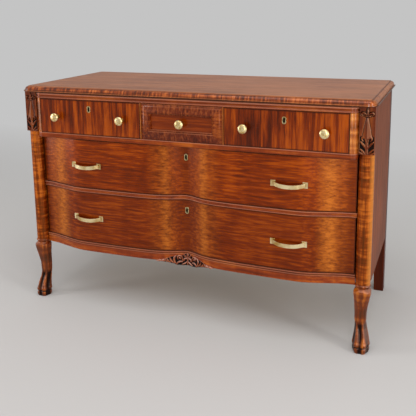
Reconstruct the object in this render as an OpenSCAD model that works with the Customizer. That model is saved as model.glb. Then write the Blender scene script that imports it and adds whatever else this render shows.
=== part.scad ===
// Chest of drawers in polished mahogany: three small drawers over two long ones with a
// swelled, double-bowed front, round corner columns, carved corner blocks and paw feet.
// Millimetres. X runs to the right as one faces the front, Y to the back, Z up. The origin
// is on the floor, in the middle of the whole piece, knobs included.

/* [Overall] */
// Width of the top board
top_w = 1220; // [1120:1:1320]
// Depth of the top board
top_d = 516; // [480:1:580]
// Thickness of the top board
top_t = 18.5; // [16:0.5:28]
// Width of the worked edge round the front and sides of the top
top_edge_w = 16; // [12:1:20]
// Height of the flat at the foot of the worked edge
top_fillet_h = 3.5; // [2:0.5:5]
// How far the top stands out past the corner blocks at each side
top_over_side = 6; // [3:0.5:12]
// Radius of the top's front corners, seen from above
top_corner_r = 30; // [22:1:45]
// How far the top stands out past the back of the case
top_over_back = 5; // [0:1:15]

/* [Heights, from the floor up] */
// Clear height of the legs below the case
leg_h = 207; // [180:1:240]
// Height of the rail below the long drawers
base_rail_h = 33.5; // [26:0.5:40]
// Height of the lower long drawer's opening
lower_long_h = 181; // [160:1:210]
// Height of the rail between the long drawers
mid_rail_h = 15; // [14:1:20]
// Height of the upper long drawer's opening
upper_long_h = 170.5; // [150:0.5:200]
// Height of the rail below the small drawers
upper_rail_h = 16.5; // [15:0.5:22]
// Height of the small drawers' opening
small_h = 120; // [100:0.5:140]
// Height of the beaded frieze under the top
frieze_h = 22; // [16:0.5:26]

/* [Swelled front] */
// How far the two crowns of the swelled rails lie behind the top's front edge
crown_set = 0; // [0:0.5:8]
// Depth of the hollow in the middle
valley_depth = 40; // [30:1:50]
// Half width of the hollow at half its depth
valley_half_w = 58; // [45:1:80]
// Where the front starts to fall back towards the columns, from the middle
flank_start = 375; // [340:1:400]
// Where it has fallen back fully, from the middle
flank_end = 560; // [540:1:575]
// How far it falls back at the columns
flank_depth = 38; // [30:1:48]
// How far the drawer fronts lie behind the rails' beads
front_set = 3.5; // [2:0.5:5]

/* [Upper section] */
// How far the small drawers' faces lie behind the top's front edge
upper_set = 6; // [5:0.5:12]
// Radius of the quarter-round stiles at its ends
stile_r = 22; // [18:1:24]
// Distance of a divider from the middle
divider_x = 143.5; // [120:0.5:170]
// Width of the divider's edge that shows between two drawers
divider_edge_w = 3.5; // [2.5:0.5:6]
// Thickness of a divider behind the drawer fronts
divider_t = 12; // [10:1:16]
// Radius of the frieze's two beads
bead_r = 2.8; // [2:0.1:3.5]

/* [Posts, legs and panels] */
// Width and depth of the carved block at the top of a front post
block_w = 45; // [40:1:56]
// Radius of the round column below the block
column_r = 22.5; // [18:0.5:24.5]
// How far the front of the post lies behind the top's front edge
post_set = 17; // [12:1:24]
// Gap between the column and the end of a long drawer's front
column_gap = 5; // [3:0.5:8]
// Height of the leg's ring above the lower edge of the base rail
ring_rise = 10; // [6:1:14]
// Depth of the square stile behind the column
stile_d = 50; // [40:1:60]
// How far the stile's outer face lies inside the block's
stile_inset = 4; // [2:0.5:6]
// Width and depth of a rear leg
rear_leg_w = 40; // [34:1:46]
// Width of a rear leg at the floor
rear_foot_w = 34; // [28:1:40]
// Thickness of a side panel
side_t = 16; // [12:1:20]
// Thickness and depth of the tongues on the side panels
tongue = 8; // [5:1:9]
// Thickness of the back boards
back_t = 8; // [6:1:12]
// Number of back boards
back_boards_n = 5; // [3:1:8]
// Thickness of the dust boards
dust_t = 6; // [4:1:8]
// Diameter of the round tenon on a front leg
tenon_d = 22; // [16:1:26]
// Length of that tenon
tenon_l = 45; // [30:1:60]
// Depth of the stub tenons on the rails
stub_l = 10; // [6:1:14]

/* [Drawers] */
// Thickness of the small drawers' fronts
small_front_t = 20; // [18:1:24]
// Thickness of the long drawers' fronts
long_front_t = 22; // [20:1:26]
// Thickness of the drawer sides
drawer_side_t = 12; // [9:1:14]
// Thickness of the drawer backs
drawer_back_t = 12; // [9:1:14]
// Thickness of the drawer bottoms
drawer_bottom_t = 5; // [4:0.5:8]
// Height of a drawer bottom above the lower edge of its sides
bottom_rise = 10; // [8:1:14]
// Depth of the grooves that hold the drawer bottoms and dust boards
groove_d = 6; // [4:1:7]
// Length of the dovetails that join a side to its front
dovetail_l = 14; // [10:1:16]
// How far a drawer side ends in front of the back boards
drawer_back_gap = 14; // [8:1:30]
// How far a drawer side ends below its opening
side_top_gap = 8; // [5:1:20]
// Gap round a drawer front
reveal = 1.2; // [0.8:0.1:2]

/* [Brass] */
// Distance of a small side drawer's outer knob from the middle of the case
knob_outer_x = 464.5; // [440:0.5:490]
// Distance of its inner knob
knob_inner_x = 214; // [190:1:240]
// Height of the knobs above the small drawers' opening
knob_rise = 59; // [40:1:80]
// Diameter of a knob
knob_d = 30; // [26:1:40]
// How far a knob stands out
knob_reach = 26; // [22:1:34]
// Distance of a pull's middle from the middle of the case
pull_x = 357; // [320:1:400]
// Distance between a pull's two bolts
pull_span = 100; // [80:1:120]
// How far a pull stands out
pull_reach = 20; // [16:1:34]
// How far a pull's grip hangs below its pads
pull_droop = 6; // [0:0.5:10]
// Height of a pull's grip
pull_grip_h = 12.5; // [9:0.5:15]
// Height of the upper pulls above the upper long drawer's opening
upper_pull_rise = 82; // [60:1:110]
// Height of the lower pulls above the lower long drawer's opening
lower_pull_rise = 91; // [60:1:110]
// Distance of a small drawer's keyhole from the middle of the case
small_key_x = 339; // [310:1:370]
// Drop of the small drawers' keyholes below the top of the opening
small_key_drop = 30.5; // [28:0.5:38]
// Drop of the upper long drawer's keyhole
upper_key_drop = 42; // [28:0.5:42]
// Drop of the lower long drawer's keyhole
lower_key_drop = 38; // [28:0.5:42]
// Travel of a lock's bolt
bolt_travel = 6; // [4:0.5:7]

/* [Carving] */
// Half length of the carving in the middle of the base rail
carving_half_w = 104; // [80:1:120]
// How far it hangs below the rail
carving_drop = 21; // [12:1:28]
// Thickness of the carving at its thickest
carving_t = 9; // [6:1:12]

/* [Hidden] */
$fn = 64;
// Clearance of fixed joints, and of what slides
fit = 0.1;
slide_gap = 0.3;
// A cut runs this far past the faces that it goes through
past = 1;

// Planes across the depth: the knobs reach furthest forward, and the whole is centred
knob_out = knob_reach - upper_set;
front_y = -(top_d - knob_out) / 2;
upper_y = front_y + upper_set;
crown_y = front_y + crown_set;
post_y = front_y + post_set + block_w / 2;
stile_back_y = post_y + stile_d;
rail_back_y = stile_back_y + 8;
case_back_y = front_y + top_d - top_over_back;
boards_y = case_back_y - back_t;
rear_leg_y = case_back_y - rear_leg_w;

// Planes across the width, from the middle
block_out_x = top_w / 2 - top_over_side;
block_in_x = block_out_x - block_w;
post_x = block_out_x - block_w / 2;
case_out_x = block_out_x - stile_inset;
stile_in_x = block_in_x + 2;
side_in_x = case_out_x - side_t;
rear_leg_in_x = case_out_x - rear_leg_w;
// The quarter-round stile and its beads end just short of the block
bead_out = 1.6;
upper_half_w = block_in_x - stile_r - 2;
column_in_x = post_x - column_r;
post_in_x = min(block_in_x, column_in_x);
long_half_w = post_in_x - column_gap;
// A long drawer's box and a small one's, from the middle
long_box_x = long_half_w - 2;
small_box_x = upper_half_w - reveal - 1.3;
// Rails keep this far from the round column
rail_nose_x = post_in_x - 2;
rail_nose_y = post_y + column_r + 1.5;

// Heights
base_rail_z = leg_h;
lower_long_z = base_rail_z + base_rail_h;
mid_rail_z = lower_long_z + lower_long_h;
upper_long_z = mid_rail_z + mid_rail_h;
upper_rail_z = upper_long_z + upper_long_h;
small_z = upper_rail_z + upper_rail_h;
frieze_z = small_z + small_h;
top_z = frieze_z + frieze_h;
total_h = top_z + top_t;
// The leg's ring meets the column a little above the base rail's lower edge
ring_z = base_rail_z + ring_rise;
block_z = small_z - 0.5;
// The frame under the lower long drawer starts above the ring
base_frame_z = ring_z + 2;
base_frame_h = lower_long_z - base_frame_z;

// Colours
mahogany = [0.46, 0.18, 0.07];
mahogany_dark = [0.36, 0.13, 0.05];
mahogany_light = [0.58, 0.27, 0.10];
poplar = [0.74, 0.62, 0.44];
brass = [0.80, 0.66, 0.36];
steel = [0.55, 0.55, 0.56];

// The swelled front. Distance behind its crowns at x from the middle: a hollow in the
// middle, two nearly flat crowns, and a flank that falls back to each column.
function ease(t) = let (c = max(0, min(1, t))) c * c * (3 - 2 * c);
function swell(x) =
    valley_depth / (1 + pow(x / valley_half_w, 2))
    + flank_depth * ease((abs(x) - flank_start) / (flank_end - flank_start));

// Points along it from -half_w to half_w, closest together in the hollow
swell_steps = 44;
function swell_line(half_w, y) = [
    for (i = [-swell_steps : swell_steps])
        let (t = i / swell_steps, x = half_w * t * (0.5 + 0.5 * abs(t)))
            [x, y + swell(x)]
];
function reversed(list) = [for (i = [len(list) - 1 : -1 : 0]) list[i]];

// Plan of a board with a swelled front edge and a straight back
module swelled_plan(half_w, y, back_y)
    polygon(concat(swell_line(half_w, y), [[half_w, back_y], [-half_w, back_y]]));

// Plan of a board whose front and back both follow the swelled line
module swelled_band(half_w, y, t)
    polygon(concat(swell_line(half_w, y), reversed(swell_line(half_w, y + t))));

// A box from one corner to the opposite one
module box(low, high)
    translate(low) cube(high - low);

// A plain cylinder along Y, from the front end y0 to the back end y1
module rod(x, z, y0, y1, d)
    translate([x, y0, z]) rotate([-90, 0, 0]) cylinder(h = y1 - y0, d = d);

// Draws its children at the right, and mirrored at the left
module both_sides() {
    children();
    mirror([1, 0, 0]) children();
}

// TOP

// What is cut from the top's square edge, seen in section: a quarter round rises from a
// low flat and ends in a small step
edge_step = 1.8;
module edge_waste(reach) {
    round_r = min(top_edge_w - edge_step, top_t - top_fillet_h - 2 * edge_step);
    round_z = top_t - edge_step - round_r;
    difference() {
        translate([reach - top_edge_w, top_fillet_h]) square([top_edge_w + past, top_t]);
        translate([reach - top_edge_w, round_z]) circle(r = round_r);
        translate([reach - top_edge_w - past, 0]) square([round_r + past, round_z]);
    }
}

// The board from the axis of its rounded front corners out to its edge
module edge_section()
    difference() {
        square([top_corner_r, top_t]);
        edge_waste(top_corner_r);
    }

// The top board, with holes in its underside for the screws
module top_board() color(mahogany_light) {
    axis_x = top_w / 2 - top_corner_r;
    axis_y = front_y + top_corner_r;
    difference() {
        union() {
            box([-axis_x, axis_y, top_z], [axis_x, front_y + top_d, total_h]);
            // worked edge along the front
            translate([-axis_x, axis_y, top_z]) rotate([90, 0, 90])
                linear_extrude(2 * axis_x) mirror([1, 0]) edge_section();
            // worked edges along the sides, and round the front corners
            both_sides() {
                translate([axis_x, front_y + top_d, top_z]) rotate([90, 0, 0])
                    linear_extrude(top_d - top_corner_r) edge_section();
                translate([axis_x, axis_y, top_z]) rotate([0, 0, -90])
                    rotate_extrude(angle = 90) edge_section();
            }
        }
        for (p = top_screw_places)
            translate([p[0], p[1], top_z - past])
                cylinder(h = screw_bite + past, d = screw_d + 2 * fit);
    }
}

// Frame under the top: a front and a back rail, and two side rails
screw_d = 4.5;
screw_bite = 14;
screw_head_d = 9;
frame_front_y = upper_y + stile_r;
frame_side_w = 40;
top_screw_x = rear_leg_in_x - 4 * frame_side_w;
top_screw_places = [
    for (s = [-1 : 1]) for (y = [frame_front_y + stile_back_y, rear_leg_y + boards_y])
        [s * top_screw_x, y / 2],
    for (s = [-1, 1]) [s * (side_in_x - frame_side_w / 2), front_y + top_d / 2]
];
module top_frame() color(poplar)
    difference() {
        union() {
            box([-block_in_x, frame_front_y, frieze_z], [block_in_x, stile_back_y, top_z]);
            box([-rear_leg_in_x, rear_leg_y, frieze_z], [rear_leg_in_x, boards_y, top_z]);
            both_sides()
                box([side_in_x - frame_side_w, stile_back_y + fit, frieze_z],
                    [side_in_x, rear_leg_y - fit, top_z]);
        }
        for (p = top_screw_places) {
            translate([p[0], p[1], frieze_z - past])
                cylinder(h = frieze_h + 2 * past, d = screw_d + 2 * fit);
            translate([p[0], p[1], frieze_z - past])
                cylinder(h = screw_sink + past, d = screw_head_d + 2 * fit);
        }
    }

// Screws that hold the top down, their heads sunk in the frame
screw_sink = 6;
screw_head_t = 3;
module top_screws() color(steel)
    for (p = top_screw_places) translate([p[0], p[1], frieze_z]) {
        translate([0, 0, screw_sink - screw_head_t]) cylinder(h = screw_head_t, d = screw_head_d);
        translate([0, 0, screw_sink - past])
            cylinder(h = frieze_h - screw_sink + screw_bite, d = screw_d);
    }

// CASE

// The carving on a block: a trefoil over a tapering spear, and leaves that spread below it
relief_t = 2.5;
lobe_d = 10;
lobe_rise = 9;
lobe_spread = 8;
trefoil_drop = 24;
spear_drop = 31;
spear_rise = 46;
spear_tip_w = 4;
spear_foot_w = 26;
leaf_fan = 32;
leaf_rise = 4;
leaf_l = 38;
leaf_w = 14;
leaf_foot_w = 8;
leaf_wide_at = 22;
module block_carving() {
    for (p = [[0, lobe_rise], [-lobe_spread, 0], [lobe_spread, 0]])
        translate([p[0], top_z - trefoil_drop + p[1]]) circle(d = lobe_d);
    polygon([
        [-spear_tip_w / 2, top_z - spear_drop], [spear_tip_w / 2, top_z - spear_drop],
        [spear_foot_w / 2, block_z + spear_rise], [-spear_foot_w / 2, block_z + spear_rise]
    ]);
    for (a = [-leaf_fan, 0, leaf_fan])
        translate([0, block_z + leaf_rise]) rotate(a)
            polygon([
                [-leaf_foot_w / 2, 0], [leaf_foot_w / 2, 0], [leaf_w / 2, leaf_wide_at],
                [0, leaf_l], [-leaf_w / 2, leaf_wide_at]
            ]);
}

// A front post: carved block, round column and the square stile behind them
module front_post() {
    difference() {
        union() {
            translate([post_x, post_y, ring_z]) cylinder(h = block_z - ring_z + past, r = column_r);
            box([block_in_x, post_y - block_w / 2, block_z],
                [block_out_x, post_y + block_w / 2, top_z]);
            box([stile_in_x, post_y, ring_z], [case_out_x, stile_back_y, top_z]);
            translate([post_x, post_y - block_w / 2 + past, 0]) rotate([90, 0, 0])
                linear_extrude(relief_t + past) block_carving();
        }
        // socket for the leg's tenon
        translate([post_x, post_y, ring_z - past])
            cylinder(h = tenon_l + socket_spare + past, d = tenon_d + 2 * fit);
        // groove for the side panel
        box([case_out_x - side_t / 2 - tongue / 2 - fit, stile_back_y - tongue - fit, ring_z - past],
            [case_out_x - side_t / 2 + tongue / 2 + fit, stile_back_y + past, top_z + past]);
        // mortises for the rails' stub tenons
        for (r = rail_levels)
            box([stile_in_x - past, stub_y - fit, r[0] + stub_edge - fit],
                [stile_in_x + stub_l + fit, stub_y + stub_t + fit, r[0] + r[1] - stub_edge + fit]);
    }
}
// Room left above the leg's tenon for glue
socket_spare = 2;
// The rails' stub tenons, and how far they keep from the rails' upper and lower faces
stub_t = 10;
stub_y = rail_nose_y + 6;
stub_edge = 4;
// The rails' lower faces and heights
rail_levels = [
    [base_frame_z, base_frame_h], [mid_rail_z, mid_rail_h], [upper_rail_z, upper_rail_h]
];

module left_front_post() color(mahogany) mirror([1, 0, 0]) front_post();
module right_front_post() color(mahogany) front_post();

// A front leg, lofted through stations from the sole up to the ring. Each station holds its
// share of the leg's height, how far its middle lies outward and forward of the column's and
// its half width, all three as shares of the column's radius, how square it is, and how deep
// the hollows between the toes are.
leg_stations = [
    [0.000,  0.00,  0.42, 1.06, 2.4, 0.04],
    [0.025,  0.00,  0.46, 1.18, 2.4, 0.07],
    [0.100,  0.00,  0.44, 1.23, 2.4, 0.07],
    [0.180,  0.00,  0.34, 1.18, 2.4, 0.07],
    [0.255, -0.04,  0.16, 1.03, 2.6, 0.05],
    [0.340, -0.12, -0.03, 0.87, 3.0, 0.02],
    [0.425, -0.18, -0.11, 0.80, 3.4, 0.00],
    [0.575, -0.17, -0.09, 0.84, 4.0, 0.00],
    [0.720, -0.09,  0.04, 0.98, 4.6, 0.00],
    [0.850, -0.02,  0.12, 1.17, 4.8, 0.00],
    [0.918, -0.01,  0.12, 1.18, 4.8, 0.00],
    [0.930,  0.00,  0.06, 1.05, 3.0, 0.00],
    [0.945,  0.00,  0.01, 0.96, 2.2, 0.00],
    [0.963,  0.00,  0.00, 0.99, 2.0, 0.00],
    [0.975,  0.00,  0.00, 1.08, 2.0, 0.00],
    [0.988,  0.00,  0.00, 1.08, 2.0, 0.00],
    [1.000,  0.00,  0.00, 1.01, 2.0, 0.00]
];
leg_sides = 40;
leg_toes = 6;
// A point of the outline at angle a: a superellipse, with one of the hollows between its
// toes at the middle of the front
function leg_point(s, a) =
    let (
        n = s[4],
        r = s[3] / pow(pow(abs(cos(a)), n) + pow(abs(sin(a)), n), 1 / n),
        hollow = 1 - s[5] * (1 + cos(leg_toes * (a + 90)))
    )
    [
        column_r * (s[1] + r * hollow * cos(a)),
        column_r * (-s[2] + r * hollow * sin(a)),
        ring_z * s[0]
    ];

module leg_loft() {
    rings = len(leg_stations);
    points = [
        for (s = leg_stations) for (i = [0 : leg_sides - 1]) leg_point(s, 360 * i / leg_sides)
    ];
    sides = [
        for (k = [0 : rings - 2]) for (i = [0 : leg_sides - 1])
            let (j = (i + 1) % leg_sides, a = k * leg_sides, b = a + leg_sides)
                each [[a + i, b + i, b + j], [a + i, b + j, a + j]]
    ];
    sole = [for (i = [0 : leg_sides - 1]) i];
    crown = [for (i = [leg_sides - 1 : -1 : 0]) (rings - 1) * leg_sides + i];
    polyhedron(points = points, faces = concat(sides, [sole], [crown]), convexity = 6);
}

module front_leg() translate([post_x, post_y, 0]) {
    leg_loft();
    translate([0, 0, ring_z - past]) cylinder(h = tenon_l + past, d = tenon_d);
}
module left_front_leg() color(mahogany) mirror([1, 0, 0]) front_leg();
module right_front_leg() color(mahogany) front_leg();

// A rear leg: a square stile from the top down to the case, tapered below it
module rear_leg()
    difference() {
        translate([0, case_back_y, 0]) rotate([90, 0, 0]) linear_extrude(rear_leg_w)
            polygon([
                [case_out_x - rear_foot_w, 0], [case_out_x, 0], [case_out_x, top_z],
                [rear_leg_in_x, top_z], [rear_leg_in_x, base_rail_z]
            ]);
        // groove for the side panel and rebate for the back boards
        box([case_out_x - side_t / 2 - tongue / 2 - fit, rear_leg_y - past, base_rail_z],
            [case_out_x - side_t / 2 + tongue / 2 + fit, rear_leg_y + tongue + fit, top_z + past]);
        box([rear_leg_in_x - past, boards_y, base_rail_z + board_foot],
            [rear_leg_in_x + tongue + fit, case_back_y + past, top_z + past]);
    }
module left_rear_leg() color(mahogany_dark) mirror([1, 0, 0]) rear_leg();
module right_rear_leg() color(mahogany_dark) rear_leg();

// A side panel, tongued into the post and the rear leg
module side_panel() {
    mid_x = case_out_x - side_t / 2;
    box([side_in_x, stile_back_y, base_rail_z], [case_out_x, rear_leg_y, top_z]);
    box([mid_x - tongue / 2, stile_back_y - tongue, ring_z + 2],
        [mid_x + tongue / 2, rear_leg_y + tongue, top_z]);
}
module left_side_panel() color(mahogany_dark) mirror([1, 0, 0]) side_panel();
module right_side_panel() color(mahogany_dark) side_panel();

// Upright boards that close the back
board_foot = 6;
board_gap = 0.6;
module back_boards() color(poplar) {
    half = rear_leg_in_x + tongue;
    w = 2 * half / back_boards_n;
    for (i = [0 : back_boards_n - 1])
        box([-half + i * w + board_gap / 2, boards_y, base_rail_z + board_foot],
            [-half + (i + 1) * w - board_gap / 2, case_back_y, top_z]);
}

// Rail between the rear legs, behind the bottom board
module lower_back_rail() color(poplar)
    difference() {
        box([-rear_leg_in_x, rear_leg_y, base_rail_z], [rear_leg_in_x, boards_y, lower_long_z]);
        box([-runner_in_x - groove_d - fit, rear_leg_y - past, dust_z(base_frame_z, base_frame_h) - fit],
            [runner_in_x + groove_d + fit, rear_leg_y + groove_d + fit,
             dust_z(base_frame_z, base_frame_h) + dust_t + fit]);
    }

// Stub tenons at both ends of a rail
module stubs(z, h)
    both_sides()
        box([stile_in_x - past, stub_y, z + stub_edge],
            [stile_in_x + stub_l, stub_y + stub_t, z + h - stub_edge]);

// Corners taken out of a rail's ends so that it clears the round columns
module column_clearance(z, h)
    both_sides()
        box([rail_nose_x, front_y - past, z - past], [stile_in_x + past, rail_nose_y, z + h + past]);

// Groove in a rail's back edge for a dust board
module dust_groove(z, h)
    box([-side_in_x, rail_back_y - groove_d - fit, dust_z(z, h) - fit],
        [side_in_x, rail_back_y + past, dust_z(z, h) + dust_t + fit]);
function dust_z(z, h) = z + h / 2 - dust_t / 2;

// Pocket in the underside of a rail for a lock's bolt, with room round the bolt and above it
strike_room = 1;
strike_over = 1.5;
module strike(x, y, z)
    box([x - bolt_w / 2 - strike_room, y - bolt_t / 2 - strike_room, z - past],
        [x + bolt_w / 2 + strike_room, y + bolt_t / 2 + strike_room, z + bolt_travel + strike_over]);

// Rail under the long drawers: a bead along its top, then a plain band
rail_bead_h = 5;
bead_set = 2;
rail_face_y = crown_y + bead_set;
module base_rail() color(mahogany)
    difference() {
        union() {
            translate([0, 0, base_rail_z]) linear_extrude(base_rail_h - rail_bead_h)
                swelled_plan(stile_in_x, rail_face_y, rail_back_y);
            translate([0, 0, lower_long_z - rail_bead_h]) linear_extrude(rail_bead_h)
                swelled_plan(stile_in_x, crown_y, rail_back_y);
            stubs(base_frame_z, base_frame_h);
        }
        column_clearance(base_rail_z, base_rail_h);
        // the leg stands below the post here
        both_sides()
            box([rail_nose_x, front_y, base_rail_z - past],
                [stile_in_x + past, rail_back_y + past, ring_z + 1]);
        dust_groove(base_frame_z, base_frame_h);
    }

// Rail between the long drawers, with a bead along its top and its foot
module mid_rail() color(mahogany)
    difference() {
        union() {
            translate([0, 0, mid_rail_z]) linear_extrude(mid_rail_h)
                swelled_plan(stile_in_x, rail_face_y, rail_back_y);
            for (z = [mid_rail_z, upper_long_z - rail_bead_h])
                translate([0, 0, z]) linear_extrude(rail_bead_h)
                    swelled_plan(stile_in_x, crown_y, rail_back_y);
            stubs(mid_rail_z, mid_rail_h);
        }
        column_clearance(mid_rail_z, mid_rail_h);
        dust_groove(mid_rail_z, mid_rail_h);
        strike(0, long_bolt_y, mid_rail_z);
    }

// Plan of the upper section between the posts, with a quarter round at each end
module upper_plan(back_y) {
    translate([-upper_half_w, upper_y]) square([2 * upper_half_w, back_y - upper_y]);
    for (s = [-1, 1]) translate([s * upper_half_w, upper_y + stile_r])
        intersection() {
            circle(r = stile_r);
            translate([s > 0 ? 0 : -stile_r - past, -stile_r - past])
                square([stile_r + past, stile_r + past]);
        }
}

// Rail under the small drawers. It stands out over the long drawers' hollow.
module upper_rail() color(mahogany)
    difference() {
        union() {
            translate([0, 0, upper_rail_z]) linear_extrude(upper_rail_h) upper_plan(upper_y + stile_r);
            box([-rail_nose_x, upper_y + stile_r, upper_rail_z], [rail_nose_x, rail_back_y, small_z]);
            box([-stile_in_x, rail_nose_y, upper_rail_z], [stile_in_x, rail_back_y, small_z]);
            stubs(upper_rail_z, upper_rail_h);
        }
        dust_groove(upper_rail_z, upper_rail_h);
        strike(0, long_bolt_y, upper_rail_z);
    }

// Quarter-round stiles at the ends of the small drawers
module upper_stiles() color(mahogany_light)
    both_sides() {
        translate([upper_half_w, upper_y + stile_r, small_z])
            intersection() {
                cylinder(h = small_h, r = stile_r);
                translate([0, -stile_r - past, -past])
                    cube([stile_r + past, stile_r + past, small_h + 2 * past]);
            }
        box([upper_half_w, upper_y + stile_r, small_z], [block_in_x, post_y + block_w / 2, frieze_z]);
    }

// Frieze under the top, with two beads that run round its quarter-round ends
bead_heights = [4.2, 15.8];
module frieze_section() {
    square([stile_r, frieze_h]);
    for (h = bead_heights)
        translate([stile_r + bead_out - bead_r, h * frieze_h / 20]) circle(r = bead_r);
}
module frieze_moulding() color(mahogany)
    difference() {
        union() {
            translate([-upper_half_w, upper_y + stile_r, frieze_z]) rotate([90, 0, 90])
                linear_extrude(2 * upper_half_w) mirror([1, 0]) frieze_section();
            both_sides() translate([upper_half_w, upper_y + stile_r, frieze_z])
                rotate([0, 0, -90]) rotate_extrude(angle = 90) frieze_section();
        }
        for (s = [-1, 1]) strike(s * small_key_x, small_bolt_y, frieze_z);
    }

// Dividers between the small drawers. Only a thin edge shows between the fronts.
module drawer_dividers() color(mahogany)
    for (s = [-1, 1]) {
        box([s * divider_x - divider_edge_w / 2, upper_y, small_z],
            [s * divider_x + divider_edge_w / 2, upper_y + small_front_t + 2, frieze_z]);
        box([s * divider_x - divider_t / 2, upper_y + small_front_t + reveal, small_z],
            [s * divider_x + divider_t / 2, boards_y, frieze_z]);
    }

// Runners that carry the drawers' sides. The outer ones have a fence that guides them.
runner_in_x = 500;
runner_mid_w = 60;
fence_h = 20;
module side_runner(z, h, fence_x)
    difference() {
        union() {
            box([runner_in_x, rail_back_y, z], [side_in_x, rear_leg_y, z + h]);
            box([fence_x, rail_back_y, z], [side_in_x, rear_leg_y, z + h + fence_h]);
        }
        box([runner_in_x - past, rail_back_y - past, dust_z(z, h) - fit],
            [runner_in_x + groove_d + fit, rear_leg_y + past, dust_z(z, h) + dust_t + fit]);
    }
module mid_runner(x)
    difference() {
        box([x - runner_mid_w / 2, rail_back_y, upper_rail_z], [x + runner_mid_w / 2, boards_y, small_z]);
        for (s = [-1, 1])
            box([x + s * runner_mid_w / 2 - groove_d - fit, rail_back_y - past,
                 dust_z(upper_rail_z, upper_rail_h) - fit],
                [x + s * runner_mid_w / 2 + groove_d + fit, boards_y + past,
                 dust_z(upper_rail_z, upper_rail_h) + dust_t + fit]);
    }
module drawer_runners() color(poplar) {
    both_sides() {
        side_runner(base_frame_z, base_frame_h, long_box_x + slide_gap + 1);
        side_runner(mid_rail_z, mid_rail_h, long_box_x + slide_gap + 1);
        side_runner(upper_rail_z, upper_rail_h, small_box_x + slide_gap + 1);
    }
    for (s = [-1, 1]) mid_runner(s * divider_x);
}

// Thin dust boards between the drawers and under the lowest one
module dust_board(x0, x1, z, h, back_y)
    box([x0 - groove_d, rail_back_y - groove_d, dust_z(z, h)],
        [x1 + groove_d, back_y, dust_z(z, h) + dust_t]);
module dust_boards() color(poplar) {
    inner = divider_x - runner_mid_w / 2;
    outer = divider_x + runner_mid_w / 2;
    dust_board(-inner, inner, upper_rail_z, upper_rail_h, boards_y);
    both_sides() dust_board(outer, runner_in_x, upper_rail_z, upper_rail_h, rear_leg_y);
    dust_board(-runner_in_x, runner_in_x, mid_rail_z, mid_rail_h, rear_leg_y);
    dust_board(-runner_in_x, runner_in_x, base_frame_z, base_frame_h, rear_leg_y + groove_d);
}

// Small blocks on the rails that stop each drawer when it is closed
stop_h = 6;
stop_d = 12;
stop_w = 24;
module stop_block(x, y, z)
    box([x - stop_w / 2, y + slide_gap, z], [x + stop_w / 2, y + slide_gap + stop_d, z + stop_h]);
// The stops' distance from the ends of a small drawer's front and of a long one's
small_stop_inset = 50;
long_stop_inset = 260;
module drawer_stops() color(poplar) {
    for (d = [left_drawer, middle_drawer, right_drawer])
        for (x = [d[0] + small_stop_inset, d[1] - small_stop_inset])
            stop_block(x, upper_y + small_front_t, small_z);
    long_stop_x = long_half_w - long_stop_inset;
    for (s = [-1, 1]) for (z = [lower_long_z, upper_long_z])
        stop_block(s * long_stop_x, long_y + swell(long_stop_x - stop_w / 2) + long_front_t, z);
}

// Carving in the middle of the base rail: leaf scrolls on either side of a rosette. It
// follows the hollow of the rail, and hangs a little below it.
function carving_swag(x) = (1 + cos(180 * x / carving_half_w)) / 2;
carving_leaves = 5;
carving_leaf_h = 4;
carving_crest_h = 21;
module carving_outline() {
    steps = 26;
    xs = [for (i = [-steps : steps]) carving_half_w * i / steps];
    polygon(concat(
        [for (x = xs)
            [x, base_rail_z + 1 - carving_swag(x) * (0.8 * carving_drop
                + carving_leaf_h * abs(sin(180 * carving_leaves * x / carving_half_w)))]],
        [for (x = reversed(xs)) [x, base_rail_z + 6 + carving_crest_h * pow(carving_swag(x), 3)]]
    ));
}
// Raised rounds, each with its distance from the middle as a share of the half length, its
// rise above the rail's lower edge and its diameter
carving_rounds = [
    [0, 12, 22], [0, -9, 16], [0.17, 0, 17], [0.33, -3, 14], [0.48, -5, 12], [0.63, -5, 10]
];
module apron_carving() color(mahogany_dark)
    difference() {
        union() {
            intersection() {
                translate([0, 0, base_rail_z - 2 * carving_drop]) linear_extrude(4 * carving_drop)
                    swelled_band(carving_half_w, rail_face_y - carving_t / 2, carving_t);
                translate([0, crown_y + valley_depth + carving_t, 0]) rotate([90, 0, 0])
                    linear_extrude(valley_depth + 3 * carving_t) carving_outline();
            }
            for (s = [-1, 1]) for (c = carving_rounds) {
                x = s * c[0] * carving_half_w;
                y = rail_face_y + swell(x);
                rod(x, base_rail_z + c[1], y - carving_t, y, c[2]);
            }
        }
        // its back lies on the rail's face
        translate([0, 0, base_rail_z - 3 * carving_drop]) linear_extrude(6 * carving_drop)
            swelled_plan(stile_in_x, rail_face_y, rail_back_y);
    }

// DRAWERS

// A drawer is [left and right edge of its front, left and right side of its box, lower and
// upper edge of its opening, whether its front is swelled]
left_drawer = [
    -upper_half_w + reveal, -divider_x - divider_edge_w / 2 - reveal,
    -small_box_x, -divider_x - divider_t / 2 - 1, small_z, frieze_z, false
];
middle_drawer = [
    -divider_x + divider_edge_w / 2 + reveal, divider_x - divider_edge_w / 2 - reveal,
    -divider_x + divider_t / 2 + 1, divider_x - divider_t / 2 - 1, small_z, frieze_z, false
];
right_drawer = [
    -left_drawer[1], -left_drawer[0], -left_drawer[3], -left_drawer[2], small_z, frieze_z, false
];
upper_long_drawer = [
    -long_half_w, long_half_w, -long_box_x, long_box_x, upper_long_z, upper_rail_z, true
];
lower_long_drawer = [
    -long_half_w, long_half_w, -long_box_x, long_box_x, lower_long_z, mid_rail_z, true
];
long_y = crown_y + front_set;
drawer_end_y = boards_y - drawer_back_gap;
function side_z0(d) = d[4] + slide_gap;
function side_z1(d) = d[5] - side_top_gap;
function bottom_z(d) = side_z0(d) + bottom_rise;

// Plan of the space in front of a line set back from the drawer's face by t
module face_plan(d, t)
    if (d[6]) swelled_band(long_half_w, long_y, t);
    else translate([d[0], upper_y]) square([d[1] - d[0], t]);
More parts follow.
